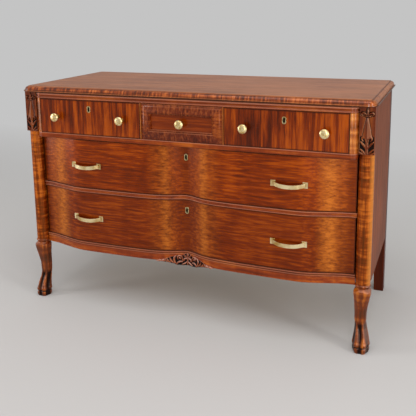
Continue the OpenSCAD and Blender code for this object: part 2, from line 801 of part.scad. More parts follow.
// Plan of all that lies behind the front's inner face, shifted forward by cut
module behind_plan(d, cut, back_y)
    if (d[6]) swelled_plan(long_half_w, long_y + long_front_t - cut, back_y);
    else translate([d[0], upper_y + small_front_t - cut])
        square([d[1] - d[0], back_y - upper_y - small_front_t + cut]);

// Dovetails at the front end of a side, seen from its face and running across its thickness
dovetails_n = 4;
dovetail_margin = 4;
dovetail_root = 2;
dovetail_gap = 5;
dovetail_flare = 2.5;
module dovetails(d, x0) {
    pitch = (side_z1(d) - side_z0(d) - 2 * dovetail_margin) / dovetails_n;
    root_h = pitch / 2 - dovetail_gap;
    end_h = root_h + dovetail_flare;
    face_y = d[6] ? long_y + swell(long_box_x) + long_front_t : upper_y + small_front_t;
    translate([x0, face_y, side_z0(d) + dovetail_margin]) rotate([90, 0, 90]) linear_extrude(drawer_side_t)
        for (i = [0 : dovetails_n - 1])
            translate([0, (i + 0.5) * pitch])
                polygon([
                    [dovetail_root, -root_h], [dovetail_root, root_h], [0, root_h],
                    [-dovetail_l, end_h], [-dovetail_l, -end_h], [0, -root_h]
                ]);
}
module both_dovetails(d) {
    dovetails(d, d[2]);
    dovetails(d, d[3] - drawer_side_t);
}

// A drawer's back stands in housings in its sides, a little in from their ends
housing_d = 4;
back_inset = 10;
back_drop = 6;
module drawer_sides(d)
    difference() {
        union() {
            for (x0 = [d[2], d[3] - drawer_side_t])
                translate([0, 0, side_z0(d)]) linear_extrude(side_z1(d) - side_z0(d))
                    intersection() {
                        behind_plan(d, 0, drawer_end_y);
                        translate([x0, front_y]) square([drawer_side_t, top_d]);
                    }
            both_dovetails(d);
        }
        // grooves for the bottom, and housings for the back
        box([d[2] + drawer_side_t - groove_d - fit, front_y - past, bottom_z(d) - fit],
            [d[3] - drawer_side_t + groove_d + fit, drawer_end_y + past,
             bottom_z(d) + drawer_bottom_t + fit]);
        box([d[2] + drawer_side_t - housing_d - fit, drawer_end_y - back_inset - drawer_back_t - fit,
             bottom_z(d) + drawer_bottom_t],
            [d[3] - drawer_side_t + housing_d + fit, drawer_end_y - back_inset + fit, side_z1(d) + past]);
    }

module drawer_back(d)
    box([d[2] + drawer_side_t - housing_d, drawer_end_y - back_inset - drawer_back_t,
         bottom_z(d) + drawer_bottom_t + fit],
        [d[3] - drawer_side_t + housing_d, drawer_end_y - back_inset, side_z1(d) - back_drop]);

module drawer_bottom(d)
    translate([0, 0, bottom_z(d)]) linear_extrude(drawer_bottom_t)
        intersection() {
            behind_plan(d, groove_d, drawer_end_y - 2);
            translate([d[2] + drawer_side_t - groove_d, front_y])
                square([d[3] - d[2] - 2 * drawer_side_t + 2 * groove_d, top_d]);
        }

// A front without its brass: sockets for the dovetails and a groove for the bottom
module drawer_front(d)
    difference() {
        translate([0, 0, d[4] + reveal]) linear_extrude(d[5] - d[4] - 2 * reveal)
            face_plan(d, d[6] ? long_front_t : small_front_t);
        both_dovetails(d);
        translate([0, 0, bottom_z(d) - fit]) linear_extrude(drawer_bottom_t + 2 * fit)
            intersection() {
                behind_plan(d, groove_d + fit, drawer_end_y);
                translate([d[2] + drawer_side_t - groove_d - fit, front_y])
                    square([d[3] - d[2] - 2 * drawer_side_t + 2 * groove_d + 2 * fit, top_d]);
            }
    }

module left_drawer_front() color(mahogany)
    difference() {
        drawer_front(left_drawer);
        for (x = [-knob_outer_x, -knob_inner_x]) knob_hole(x);
        lock_mortise(-small_key_x, small_lock_y, small_lock_z, small_key_drop - reveal, small_front_t);
    }
module left_drawer_sides() color(poplar) drawer_sides(left_drawer);
module left_drawer_back() color(poplar) drawer_back(left_drawer);
module left_drawer_bottom() color(poplar) drawer_bottom(left_drawer);

// The middle front has a sunk panel inside a broad frame
panel_margin = 32;
panel_slope = 5;
panel_depth = 4;
panel_in = panel_margin + panel_slope;
module middle_drawer_front() color(mahogany)
    difference() {
        drawer_front(middle_drawer);
        hull() {
            box([middle_drawer[0] + panel_margin, upper_y - past, small_z + panel_margin],
                [middle_drawer[1] - panel_margin, upper_y, frieze_z - panel_margin]);
            box([middle_drawer[0] + panel_in, upper_y, small_z + panel_in],
                [middle_drawer[1] - panel_in, upper_y + panel_depth, frieze_z - panel_in]);
        }
        knob_hole(0);
    }
module middle_drawer_sides() color(poplar) drawer_sides(middle_drawer);
module middle_drawer_back() color(poplar) drawer_back(middle_drawer);
module middle_drawer_bottom() color(poplar) drawer_bottom(middle_drawer);

module right_drawer_front() color(mahogany)
    difference() {
        drawer_front(right_drawer);
        for (x = [knob_outer_x, knob_inner_x]) knob_hole(x);
        lock_mortise(small_key_x, small_lock_y, small_lock_z, small_key_drop - reveal, small_front_t);
    }
module right_drawer_sides() color(poplar) drawer_sides(right_drawer);
module right_drawer_back() color(poplar) drawer_back(right_drawer);
module right_drawer_bottom() color(poplar) drawer_bottom(right_drawer);

module long_front(d, pull_z, key_drop)
    difference() {
        drawer_front(d);
        both_sides() pull_holes(pull_z);
        lock_mortise(0, long_lock_y, d[5] - reveal, key_drop - reveal, long_front_t);
    }
upper_pull_z = upper_long_z + upper_pull_rise;
lower_pull_z = lower_long_z + lower_pull_rise;
module upper_long_drawer_front() color(mahogany)
    long_front(upper_long_drawer, upper_pull_z, upper_key_drop);
module upper_long_drawer_sides() color(poplar) drawer_sides(upper_long_drawer);
module upper_long_drawer_back() color(poplar) drawer_back(upper_long_drawer);
module upper_long_drawer_bottom() color(poplar) drawer_bottom(upper_long_drawer);
module lower_long_drawer_front() color(mahogany)
    long_front(lower_long_drawer, lower_pull_z, lower_key_drop);
module lower_long_drawer_sides() color(poplar) drawer_sides(lower_long_drawer);
module lower_long_drawer_back() color(poplar) drawer_back(lower_long_drawer);
module lower_long_drawer_bottom() color(poplar) drawer_bottom(lower_long_drawer);

// BRASS

// A turned knob with a rim round its dished face, on a stud with a nut behind the front
stud_d = 4;
nut_h = 3;
nut_w = 9;
flange_r = 11;
flange_t = 3;
neck_r = 6;
head_t = 9;
rim_r = 2.5;
dish_r = 2.2;
module knob_hole(x)
    rod(x, small_z + knob_rise, upper_y - past, upper_y + small_front_t + past, stud_d + 2 * fit);
module knob(x, face_y) translate([x, face_y, small_z + knob_rise]) rotate([90, 0, 0]) {
    rim_x = knob_d / 2 - rim_r;
    rotate_extrude() {
        square([flange_r, flange_t]);
        square([neck_r, knob_reach - head_t + 1]);
        translate([0, knob_reach - head_t]) square([rim_x, head_t - rim_r]);
        translate([rim_x, knob_reach - rim_r]) circle(r = rim_r);
        // the head's back flares from the neck to the rim
        polygon([[neck_r - 0.5, knob_reach - head_t - 5], [rim_x, knob_reach - head_t + 2],
                 [rim_x + rim_r - 0.4, knob_reach - rim_r], [neck_r - 0.5, knob_reach - rim_r]]);
        square([dish_r, knob_reach - 1]);
    }
    stud_l = upper_y + small_front_t + nut_h + 1.5 - face_y;
    translate([0, 0, -stud_l]) cylinder(h = stud_l + 1, d = stud_d);
}
module knob_nut(x) translate([x, upper_y + small_front_t + nut_h, small_z + knob_rise]) rotate([90, 0, 0])
    difference() {
        cylinder(h = nut_h, d = nut_w, $fn = 6);
        translate([0, 0, -past]) cylinder(h = nut_h + 2 * past, d = stud_d + 2 * fit);
    }
module left_drawer_knobs() color(brass)
    for (x = [-knob_outer_x, -knob_inner_x]) {
        knob(x, upper_y);
        knob_nut(x);
    }
module middle_drawer_knob() color(brass) {
    knob(0, upper_y + panel_depth);
    knob_nut(0);
}
module right_drawer_knobs() color(brass)
    for (x = [knob_outer_x, knob_inner_x]) {
        knob(x, upper_y);
        knob_nut(x);
    }

// A cast pull: a flat strap that bows out between two pads, each held by a screw from
// inside the drawer
pad_w = 16;
pad_h = 19;
pad_t = 4;
strap_t = 3.6;
pull_steps = 16;
screw_seat = 2;
screw_cap_d = 8;
screw_cap_h = 2.5;
// How far the strap's inner face stands out at share t of the half span
function strap_out(t) = pull_reach - strap_t - (pull_reach - strap_t - pad_t + 1) * pow(abs(t), 3.2);
// The pull leans with the drawer's face, which its two pads touch
pull_in_y = long_y + swell(pull_x - pull_span / 2);
pull_out_y = long_y + swell(pull_x + pull_span / 2);
pull_lean = atan((pull_out_y - pull_in_y) / pull_span);
module on_face(z)
    translate([pull_x, (pull_in_y + pull_out_y) / 2, z]) rotate([0, 0, pull_lean]) children();
module pull_holes(z) on_face(z)
    for (s = [-1, 1]) {
        rod(s * pull_span / 2, 0, -10, long_front_t + 10, stud_d + 2 * fit);
        rod(s * pull_span / 2, 0, long_front_t - screw_seat, long_front_t + 10, screw_cap_d + 1);
    }
module pull_casting() {
    half = pull_span / 2;
    ts = [for (i = [-pull_steps : pull_steps]) i / pull_steps];
    intersection() {
        // the strap seen from above, and from the front
        translate([0, 0, -pull_droop - pull_grip_h]) linear_extrude(pull_droop + 2 * pull_grip_h)
            polygon(concat(
                [for (t = ts) [half * t, -strap_out(t) - strap_t]],
                [for (t = reversed(ts)) [(half - 3 * abs(t)) * t, -strap_out(t)]]
            ));
        rotate([90, 0, 0]) linear_extrude(pull_reach + past)
            polygon(concat(
                [for (t = ts) [half * t, -pull_grip_h / 2 - pull_droop * (1 - t * t)]],
                [for (t = reversed(ts)) [half * t, pull_grip_h / 2 - pull_droop * (1 - t * t)]]
            ));
    }
    for (s = [-1, 1]) box([s * half - pad_w / 2, -pad_t, -pad_h / 2], [s * half + pad_w / 2, 2, pad_h / 2]);
}
module pull(z) {
    difference() {
        on_face(z) pull_casting();
        translate([0, 0, z - pad_h]) linear_extrude(2 * pad_h) swelled_band(long_half_w, long_y, 10);
        on_face(z) for (s = [-1, 1]) rod(s * pull_span / 2, 0, 1 - pad_t, 10, stud_d + 2 * fit);
    }
    on_face(z) for (s = [-1, 1]) {
        rod(s * pull_span / 2, 0, 1 - pad_t + slide_gap, long_front_t - screw_seat + 1, stud_d);
        rod(s * pull_span / 2, 0, long_front_t - screw_seat,
            long_front_t - screw_seat + screw_cap_h, screw_cap_d);
    }
}
module upper_long_drawer_pulls() color(brass) both_sides() pull(upper_pull_z);
module lower_long_drawer_pulls() color(brass) both_sides() pull(lower_pull_z);

// A keyhole plate let into the front: two round lobes and a narrow neck
plate_w = 13;
plate_h = 23;
plate_waist_w = 11.5;
plate_sink = 0.8;
plate_proud = 0.4;
key_lobe_d = 5.6;
key_lobe_gap = 9;
key_neck_w = 3.6;
module plate_outline(grow) {
    for (s = [-1, 1]) translate([0, s * (plate_h - plate_w) / 2]) circle(d = plate_w + 2 * grow);
    square([plate_waist_w, plate_h - plate_w], center = true);
}
module key_outline() {
    for (s = [-1, 1]) translate([0, s * key_lobe_gap / 2]) circle(d = key_lobe_d);
    square([key_neck_w, key_lobe_gap], center = true);
}
module along_y(x, y0, y1, z)
    translate([x, y1, z]) rotate([90, 0, 0]) linear_extrude(y1 - y0) children();
// face_y is the front's face beside the plate, deep_y the same face in its middle
module key_plate(x, face_y, deep_y, z)
    difference() {
        along_y(x, face_y - plate_proud, deep_y + plate_sink, z) plate_outline(0);
        along_y(x, face_y - 2, deep_y + 4, z) key_outline();
    }

// A lock let into the back of the front, with its bolt in a slot of the top plate
lock_w = 44;
lock_h = 52;
lock_t = 12;
lock_wall = 1.5;
lock_top_w = 60;
lock_top_t = 2;
bolt_w = 12;
bolt_t = 4;
bolt_l = 11.5;
guide_t = 4;
guide_l = 14;
key_pin_d = 2;
small_lock_y = upper_y + small_front_t;
long_lock_y = long_y + valley_depth + long_front_t;
// The top of each lock is level with the upper edge of its front
small_lock_z = frieze_z - reveal;
upper_long_lock_z = upper_rail_z - reveal;
lower_long_lock_z = mid_rail_z - reveal;
small_bolt_y = small_lock_y - lock_t / 2;
long_bolt_y = long_lock_y - lock_t / 2;
// y is the back of the lock, z the upper edge of the front, drop the keyhole below it
module lock_mortise(x, y, z, drop, front_t) {
    box([x - lock_w / 2 - fit, y - lock_t - fit, z - lock_h - fit], [x + lock_w / 2 + fit, y + 10, z + past]);
    box([x - lock_top_w / 2 - fit, y - lock_t - fit, z - lock_top_t - fit],
        [x + lock_top_w / 2 + fit, y + 10, z + past]);
    along_y(x, y - front_t - 10, y, z - drop) key_outline();
    along_y(x, y - front_t - 10, y - front_t + plate_sink, z - drop) plate_outline(fit);
}
module lock(x, y, z, drop) color(steel)
    difference() {
        union() {
            box([x - lock_w / 2, y - lock_t, z - lock_h], [x + lock_w / 2, y, z]);
            box([x - lock_top_w / 2, y - lock_t, z - lock_top_t], [x + lock_top_w / 2, y, z]);
        }
        difference() {
            box([x - lock_w / 2 + lock_wall, y - lock_t + lock_wall, z - lock_h + lock_wall],
                [x + lock_w / 2 - lock_wall, y - lock_wall, z - lock_top_t]);
            // guides on both sides of the bolt, and the pin that the key turns on
            guide_x = bolt_w / 2 + slide_gap + guide_t / 2;
            for (s = [-1, 1])
                box([x + s * guide_x - guide_t / 2, y - lock_t, z - guide_l],
                    [x + s * guide_x + guide_t / 2, y, z]);
            rod(x, z - drop + key_lobe_gap / 2, y - lock_t + lock_wall + 1, y, key_pin_d);
        }
        along_y(x, y - lock_t - past, y - lock_t + lock_wall + past, z - drop) key_outline();
        box([x - bolt_w / 2 - slide_gap, y - lock_t / 2 - bolt_t / 2 - slide_gap, z - lock_top_t - past],
            [x + bolt_w / 2 + slide_gap, y - lock_t / 2 + bolt_t / 2 + slide_gap, z + past]);
    }
module lock_bolt(x, y, z) color(brass)
    box([x - bolt_w / 2, y - lock_t / 2 - bolt_t / 2, z - bolt_l],
        [x + bolt_w / 2, y - lock_t / 2 + bolt_t / 2, z - slide_gap]);

module left_drawer_escutcheon() color(brass)
    key_plate(-small_key_x, upper_y, upper_y, frieze_z - small_key_drop);
module left_drawer_lock() lock(-small_key_x, small_lock_y, small_lock_z, small_key_drop - reveal);
module left_drawer_lock_bolt() lock_bolt(-small_key_x, small_lock_y, small_lock_z);
module right_drawer_escutcheon() color(brass)
    key_plate(small_key_x, upper_y, upper_y, frieze_z - small_key_drop);
module right_drawer_lock() lock(small_key_x, small_lock_y, small_lock_z, small_key_drop - reveal);
module right_drawer_lock_bolt() lock_bolt(small_key_x, small_lock_y, small_lock_z);
module upper_long_drawer_escutcheon() color(brass)
    key_plate(0, long_y + swell(plate_w / 2), long_y + valley_depth, upper_rail_z - upper_key_drop);
module upper_long_drawer_lock() lock(0, long_lock_y, upper_long_lock_z, upper_key_drop - reveal);
module upper_long_drawer_lock_bolt() lock_bolt(0, long_lock_y, upper_long_lock_z);
module lower_long_drawer_escutcheon() color(brass)
    key_plate(0, long_y + swell(plate_w / 2), long_y + valley_depth, mid_rail_z - lower_key_drop);
module lower_long_drawer_lock() lock(0, long_lock_y, lower_long_lock_z, lower_key_drop - reveal);
module lower_long_drawer_lock_bolt() lock_bolt(0, long_lock_y, lower_long_lock_z);

top_board();
top_frame();
top_screws();
left_side_panel();
right_side_panel();
back_boards();
left_front_post();
right_front_post();
left_front_leg();
right_front_leg();
left_rear_leg();
right_rear_leg();
frieze_moulding();
upper_stiles();
drawer_dividers();
upper_rail();
mid_rail();
base_rail();
lower_back_rail();
apron_carving();
dust_boards();
drawer_runners();
drawer_stops();
left_drawer_front();
left_drawer_sides();
left_drawer_back();
left_drawer_bottom();
middle_drawer_front();
middle_drawer_sides();
middle_drawer_back();
middle_drawer_bottom();
right_drawer_front();
right_drawer_sides();
right_drawer_back();
right_drawer_bottom();
upper_long_drawer_front();
upper_long_drawer_sides();
upper_long_drawer_back();
upper_long_drawer_bottom();
lower_long_drawer_front();
lower_long_drawer_sides();
lower_long_drawer_back();
lower_long_drawer_bottom();
left_drawer_knobs();
middle_drawer_knob();
right_drawer_knobs();
upper_long_drawer_pulls();
lower_long_drawer_pulls();
left_drawer_escutcheon();
left_drawer_lock();
left_drawer_lock_bolt();
right_drawer_escutcheon();
right_drawer_lock();
right_drawer_lock_bolt();
upper_long_drawer_escutcheon();
upper_long_drawer_lock();
upper_long_drawer_lock_bolt();
lower_long_drawer_escutcheon();
lower_long_drawer_lock();
lower_long_drawer_lock_bolt();
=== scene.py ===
# A low chest of drawers in polished mahogany: three small drawers over two long ones with a
# double-bowed front, carved corner blocks over round columns, and carved paw feet. Metres.
from math import cos, pi, radians, sin

import bmesh
import bpy
import numpy as np
from mathutils import Matrix, Vector


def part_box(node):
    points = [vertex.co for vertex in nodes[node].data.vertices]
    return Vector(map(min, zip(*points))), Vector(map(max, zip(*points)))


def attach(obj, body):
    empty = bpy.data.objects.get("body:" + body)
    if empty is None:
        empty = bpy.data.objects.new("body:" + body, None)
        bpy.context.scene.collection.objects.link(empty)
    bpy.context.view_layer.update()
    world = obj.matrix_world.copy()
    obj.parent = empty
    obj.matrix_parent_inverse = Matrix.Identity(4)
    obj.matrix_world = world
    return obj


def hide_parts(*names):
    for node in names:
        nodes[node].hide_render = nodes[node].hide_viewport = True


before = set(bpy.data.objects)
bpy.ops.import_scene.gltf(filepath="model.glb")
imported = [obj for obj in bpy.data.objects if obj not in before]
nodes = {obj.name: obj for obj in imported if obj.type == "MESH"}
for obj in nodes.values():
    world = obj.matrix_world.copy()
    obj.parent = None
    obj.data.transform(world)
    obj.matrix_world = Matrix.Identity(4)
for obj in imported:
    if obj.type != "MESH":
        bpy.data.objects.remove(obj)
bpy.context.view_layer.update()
scene = bpy.context.scene

# Camera
# It stands to the right of the dresser, a little above its top, and looks down at it. Its
# optical axis meets the picture well above the middle, which the shift gives.
IMAGE_PX = 416
camera_place = Vector((0.814, -2.0272, 1.0481))
camera_yaw = radians(21.25)
camera_pitch = radians(10.69)
camera_roll = radians(-0.66)
focal_px = 625.5
axis_px = (215.6, 124.9)
camera = bpy.data.objects.new("camera", bpy.data.cameras.new("camera"))
camera.matrix_world = (
    Matrix.Translation(camera_place)
    @ Matrix.Rotation(camera_yaw, 4, "Z")
    @ Matrix.Rotation(pi / 2 - camera_pitch, 4, "X")
    @ Matrix.Rotation(camera_roll, 4, "Z")
)
camera.data.sensor_width = 36
camera.data.lens = focal_px / IMAGE_PX * camera.data.sensor_width
camera.data.shift_x = 0.5 - axis_px[0] / IMAGE_PX
camera.data.shift_y = axis_px[1] / IMAGE_PX - 0.5
scene.collection.objects.link(camera)
scene.camera = camera


# Floor and backdrop
# One sheet of pale grey seamless paper that rises behind the dresser in a wide curve. The
# part that only closes the picture shows its colour by itself, so it stays even.
def linear(hex_colour):
    """An sRGB hex value as the linear colour that a socket takes."""
    parts = [int(hex_colour[i:i + 2], 16) / 255 for i in (1, 3, 5)]
    return (*[p / 12.92 if p <= 0.04045 else ((p + 0.055) / 1.055) ** 2.4 for p in parts], 1.0)


def add_node(tree, kind, settings=None, links=None):
    """Adds a node, gives it its settings, and sets or links its inputs by name or number."""
    new = tree.nodes.new("ShaderNode" + kind)
    for key, value in (settings or {}).items():
        setattr(new, key, value)
    for key, value in (links or {}).items():
        if isinstance(value, bpy.types.NodeSocket):
            tree.links.new(value, new.inputs[key])
        else:
            new.inputs[key].default_value = value
    return new


def new_material(name):
    """An empty material, and its node tree with only the output in it."""
    material = bpy.data.materials.new(name)
    material.use_nodes = True
    tree = material.node_tree
    tree.nodes.clear()
    return material, tree, tree.nodes.new("ShaderNodeOutputMaterial")


def link_mesh(bm, name, materials):
    """Makes a bmesh into an object at the origin, with its materials."""
    mesh = bpy.data.meshes.new(name)
    bm.to_mesh(mesh)
    bm.free()
    made = bpy.data.objects.new(name, mesh)
    for material in materials:
        mesh.materials.append(material)
    scene.collection.objects.link(made)
    return made


# uncoated paper: pale and quite matt, so the dresser's shadow lies soft on it
paper, tree, out = new_material("pale_grey_paper")
matt = add_node(tree, "BsdfDiffuse", links={"Color": linear("#cfcdcb")})
glow = add_node(tree, "Emission", links={"Color": linear("#c4c4c4"), "Strength": 1.0})
place = add_node(tree, "NewGeometry")
split = add_node(tree, "SeparateXYZ", links={"Vector": place.outputs["Position"]})
far = add_node(tree, "MapRange", links={
    "Value": split.outputs["Y"], "From Min": 0.5, "From Max": 2.6, "To Min": 0.0, "To Max": 1.0})
rays = add_node(tree, "LightPath")
shown = add_node(tree, "Math", {"operation": "MULTIPLY"}, {
    0: far.outputs["Result"], 1: rays.outputs["Is Camera Ray"]})
mixed = add_node(tree, "MixShader", links={
    0: shown.outputs[0], 1: matt.outputs[0], 2: glow.outputs[0]})
tree.links.new(mixed.outputs[0], out.inputs["Surface"])

paper_half_w = 9
paper_front = -7
floor_depth = 10.0
sweep_radius = 1.6
turn_step = radians(9)
sweep_turns = [radians(9 * i) for i in range(10)]
backdrop_h = 5.0
steps = [(floor_depth, 0.0)]
steps += [(sweep_radius * (sin(a + turn_step) - sin(a)),
           sweep_radius * (cos(a) - cos(a + turn_step))) for a in sweep_turns]
steps += [(0.0, backdrop_h)]
bm = bmesh.new()
end = [bm.verts.new((side * paper_half_w, paper_front, 0)) for side in (-1, 1)]
bm.edges.new(end)
for dy, dz in steps:
    end_edges = [e for e in bm.edges if all(v in end for v in e.verts)]
    grown = bmesh.ops.extrude_edge_only(bm, edges=end_edges)["geom"]
    end = [v for v in grown if isinstance(v, bmesh.types.BMVert)]
    bmesh.ops.translate(bm, verts=end, vec=(0, dy, dz))
bmesh.ops.recalc_face_normals(bm, faces=bm.faces)
floor = link_mesh(bm, "seamless_paper", [paper])
for face in floor.data.polygons:
    face.use_smooth = True

# Studio light
# Even light from all round, three tall strip lights whose reflections run down the swell of the
# fronts and the columns, and a wide soft lamp above.
world = bpy.data.worlds.new("studio")
scene.world = world
world.use_nodes = True
all_round = world.node_tree.nodes["Background"]
all_round.inputs["Color"].default_value = linear("#ffffff")
all_round.inputs["Strength"].default_value = 0.56


def softbox(name, place, target, size, watts):
    """A lamp of a width and height at a place, turned towards a point."""
    lamp = bpy.data.lights.new(name, "AREA")
    lamp.shape = "RECTANGLE"
    lamp.size, lamp.size_y = size
    lamp.energy = watts
    hung = bpy.data.objects.new(name, lamp)
    turn = (Vector(place) - Vector(target)).to_track_quat("Z", "Y").to_matrix().to_4x4()
    hung.matrix_world = Matrix.Translation(place) @ turn
    scene.collection.objects.link(hung)


softbox("left_strip_light", (-2.9, -1.7, 0.95), (0, -0.1, 0.5), (0.7, 1.8), 24)
softbox("front_strip_light", (1.5, -3.4, 1.0), (0.1, -0.1, 0.5), (0.7, 1.8), 26)
softbox("right_strip_light", (3.1, -1.3, 1.1), (0.1, -0.1, 0.5), (0.6, 1.8), 26)
softbox("high_softbox", (0.4, -1.4, 3.3), (0, -0.1, 0.3), (3.2, 2.6), 42)
scene.view_settings.view_transform = "Standard"


# Sides and rear legs
# Wide mahogany panels with upright grain, duller than the front, held between the corner
# posts and the square rear legs, which run from the floor up to the top.
def banded(tree, value, stops):
    """Shares of painted highlight and painted shade along a value, from stops of (value,
    highlight, shade).
    """
    ramp = add_node(tree, "ValToRGB", links={"Fac": value})
    ramp.color_ramp.interpolation = "EASE"
    for stop in stops[2:]:
        ramp.color_ramp.elements.new(stop[0])
    for element, (where, pale, dark) in zip(ramp.color_ramp.elements, stops):
        element.position = where
        element.color = (pale, dark, 0, 1)
    parts = add_node(tree, "SeparateColor", links={"Color": ramp.outputs["Color"]})
    return parts.outputs["Red"], parts.outputs["Green"]


def mahogany(name, dark, middle, light, grain="X", stripe=0.010, bar=0.0, bar_pitch=0.012,
             swirl=0.0, flecks=0.35, spread=0.30, seed=0.0, gloss=0.30, coat=0.5, fire=0.12,
             ground=None, highlight_and_shade_bends=None, highlight_and_shade_lines=None, seam_shade=None, highlight_colour="#d8a08c",
             painted_highlight=0.0, painted_highlight_to=(0.35, -0.35, 0.87), painted_highlight_from=0.4):
    """Polished mahogany: ribbon stripes along the grain, fine dark pores, and bars across it
    where the wood is curly. Lengths in metres; stripe is the width of a ribbon, bar and flecks
    are how strong the bars and the pores are, and swirl is how far the grain wanders. Fire is
    the share of light that the cut fibres throw back as an amber sheen. With a ground colour,
    painted shade of that colour darkens the wood where the vertex attribute rise falls to
    nothing. The bends list distances from the middle, and how strong a painted highlight and a
    painted shade are there, from 0 to 1. The lines do the same over the height, between two
    heights, for painted highlights on the beads and painted shade in the quirks beside them.
    The seam shade gives the distances from the middle, and the heights, between which the wood
    has no painted shade along its edges. The painted highlight is laid in the highlight
    colour, as strong as its share, on faces turned towards its direction."""
    swirl_size = 0.16
    patch_size = 0.22
    # real pores are a third of a millimetre wide; these are drawn 1.2 mm wide so they show
    pore_width = 0.0012
    material, tree, out = new_material(name)
    place = add_node(tree, "TexCoord").outputs["Object"]
    shifted = add_node(tree, "VectorMath", {"operation": "ADD"}, {
        0: place, 1: (seed, seed * 0.7, seed * 1.3)}).outputs[0]
    bend = add_node(tree, "TexNoise", links={
        "Vector": shifted, "Scale": 1 / swirl_size, "Detail": 2.0, "Roughness": 0.45})
    centred = add_node(tree, "VectorMath", {"operation": "SUBTRACT"}, {
        0: bend.outputs["Color"], 1: (0.5, 0.5, 0.5)})
    bent = add_node(tree, "VectorMath", {"operation": "SCALE"}, {
        0: centred.outputs[0], "Scale": swirl})
    swirled = add_node(tree, "VectorMath", {"operation": "ADD"}, {
        0: shifted, 1: bent.outputs[0]})
    # the grain's own axis is drawn out: a ribbon is about twenty times as long as it is wide
    along = {"X": (0.05, 1, 1), "Y": (1, 0.05, 1), "Z": (1, 1, 0.05)}[grain]
    cross = {"X": (1, 0.15, 0.15), "Y": (0.15, 1, 0.15), "Z": (0.15, 0.15, 1)}[grain]
    drawn = add_node(tree, "Mapping", links={"Vector": swirled.outputs[0], "Scale": along})
    ribbons = add_node(tree, "TexNoise", links={
        "Vector": drawn.outputs[0], "Scale": 1 / (2 * stripe), "Detail": 3.0, "Roughness": 0.55})
    pores = add_node(tree, "TexNoise", links={
        "Vector": drawn.outputs[0], "Scale": 1 / (2 * pore_width), "Detail": 2.0,
        "Roughness": 0.6})
    bar_place = add_node(tree, "Mapping", links={"Vector": shifted, "Scale": cross})
    bars = add_node(tree, "TexNoise", links={
        "Vector": bar_place.outputs[0], "Scale": 1 / (2 * bar_pitch), "Detail": 2.0,
        "Distortion": 0.3})
    patches = add_node(tree, "TexNoise", links={
        "Vector": shifted, "Scale": 1 / patch_size, "Detail": 2.0, "Roughness": 0.5})
    tone = ribbons.outputs["Fac"]
    for part, share in ((pores, flecks), (bars, bar), (patches, 0.45)):
        lean = add_node(tree, "Math", {"operation": "SUBTRACT"}, {0: part.outputs["Fac"], 1: 0.5})
        tone = add_node(tree, "Math", {"operation": "MULTIPLY_ADD"}, {
            0: lean.outputs[0], 1: share, 2: tone}).outputs[0]
    ramp = add_node(tree, "ValToRGB", links={"Fac": tone})
    ramp.color_ramp.elements[0].position = 0.5 - spread / 2
    ramp.color_ramp.elements[0].color = linear(dark)
    ramp.color_ramp.elements[1].position = 0.5 + spread / 2
    ramp.color_ramp.elements[1].color = linear(light)
    ramp.color_ramp.elements.new(0.5).color = linear(middle)
    split = add_node(tree, "SeparateXYZ", links={"Vector": place})
    outward = add_node(tree, "Math", {"operation": "ABSOLUTE"}, {0: split.outputs["X"]}).outputs[0]

    over = []  # what lies over the wood, in turn: the share of it, and its colour
    if highlight_and_shade_bends:
        # painted highlights and painted shade at given distances from the middle
        highlight_there, shade_there = banded(tree, outward, highlight_and_shade_bends)
        patchy = add_node(tree, "Math", {"operation": "MULTIPLY_ADD"}, {0: tone, 1: 2.6, 2: -0.3})
        lit = add_node(tree, "Math", {"operation": "MULTIPLY", "use_clamp": True}, {
            0: highlight_there, 1: patchy.outputs[0]})
        over += [(lit.outputs[0], "#d67c2a"), (shade_there, "#2c0c04")]
    if highlight_and_shade_lines:
        # painted highlights on the beads and painted shade in the quirks, by height
        low_z, high_z, stops = highlight_and_shade_lines
        share = add_node(tree, "MapRange", links={
            "Value": split.outputs["Z"], "From Min": low_z, "From Max": high_z,
            "To Min": 0.0, "To Max": 1.0})
        stops = [((z - low_z) / (high_z - low_z), pale, dim) for z, pale, dim in stops]
        pale_there, shade_there = banded(tree, share.outputs["Result"], stops)
        over += [(pale_there, highlight_colour), (shade_there, "#1c0602")]
    if seam_shade:
        # painted shade darkens the last millimetres before an edge
        inner, outer, low_z, high_z = seam_shade
        edge_gap = None
        for value, limit, sign in (
                (outward, inner, 1), (outward, outer, -1),
                (split.outputs["Z"], low_z, 1), (split.outputs["Z"], high_z, -1)):
            gap = add_node(tree, "Math", {"operation": "MULTIPLY_ADD"}, {
                0: value, 1: sign, 2: -sign * limit}).outputs[0]
            edge_gap = gap if edge_gap is None else add_node(
                tree, "Math", {"operation": "MINIMUM"}, {0: edge_gap, 1: gap}).outputs[0]
        seam_shade_share = add_node(tree, "MapRange", links={
            "Value": edge_gap, "From Min": 0.0008, "From Max": 0.0045,
            "To Min": 0.85, "To Max": 0.0})
        over.append((seam_shade_share.outputs["Result"], "#1c0602"))
    if ground:
        # the cut-back ground is dull, with neither polish nor sheen, and darkened by painted shade
        rise = add_node(tree, "Attribute", {"attribute_name": "rise"}).outputs["Fac"]
        coat, fire = [
            add_node(tree, "Math", {"operation": "MULTIPLY"}, {0: rise, 1: full}).outputs[0]
            for full in (coat, fire)]
        cut_back = add_node(tree, "Math", {"operation": "SUBTRACT"}, {0: 1.0, 1: rise})
        over.append((cut_back.outputs[0], ground))
    if painted_highlight:
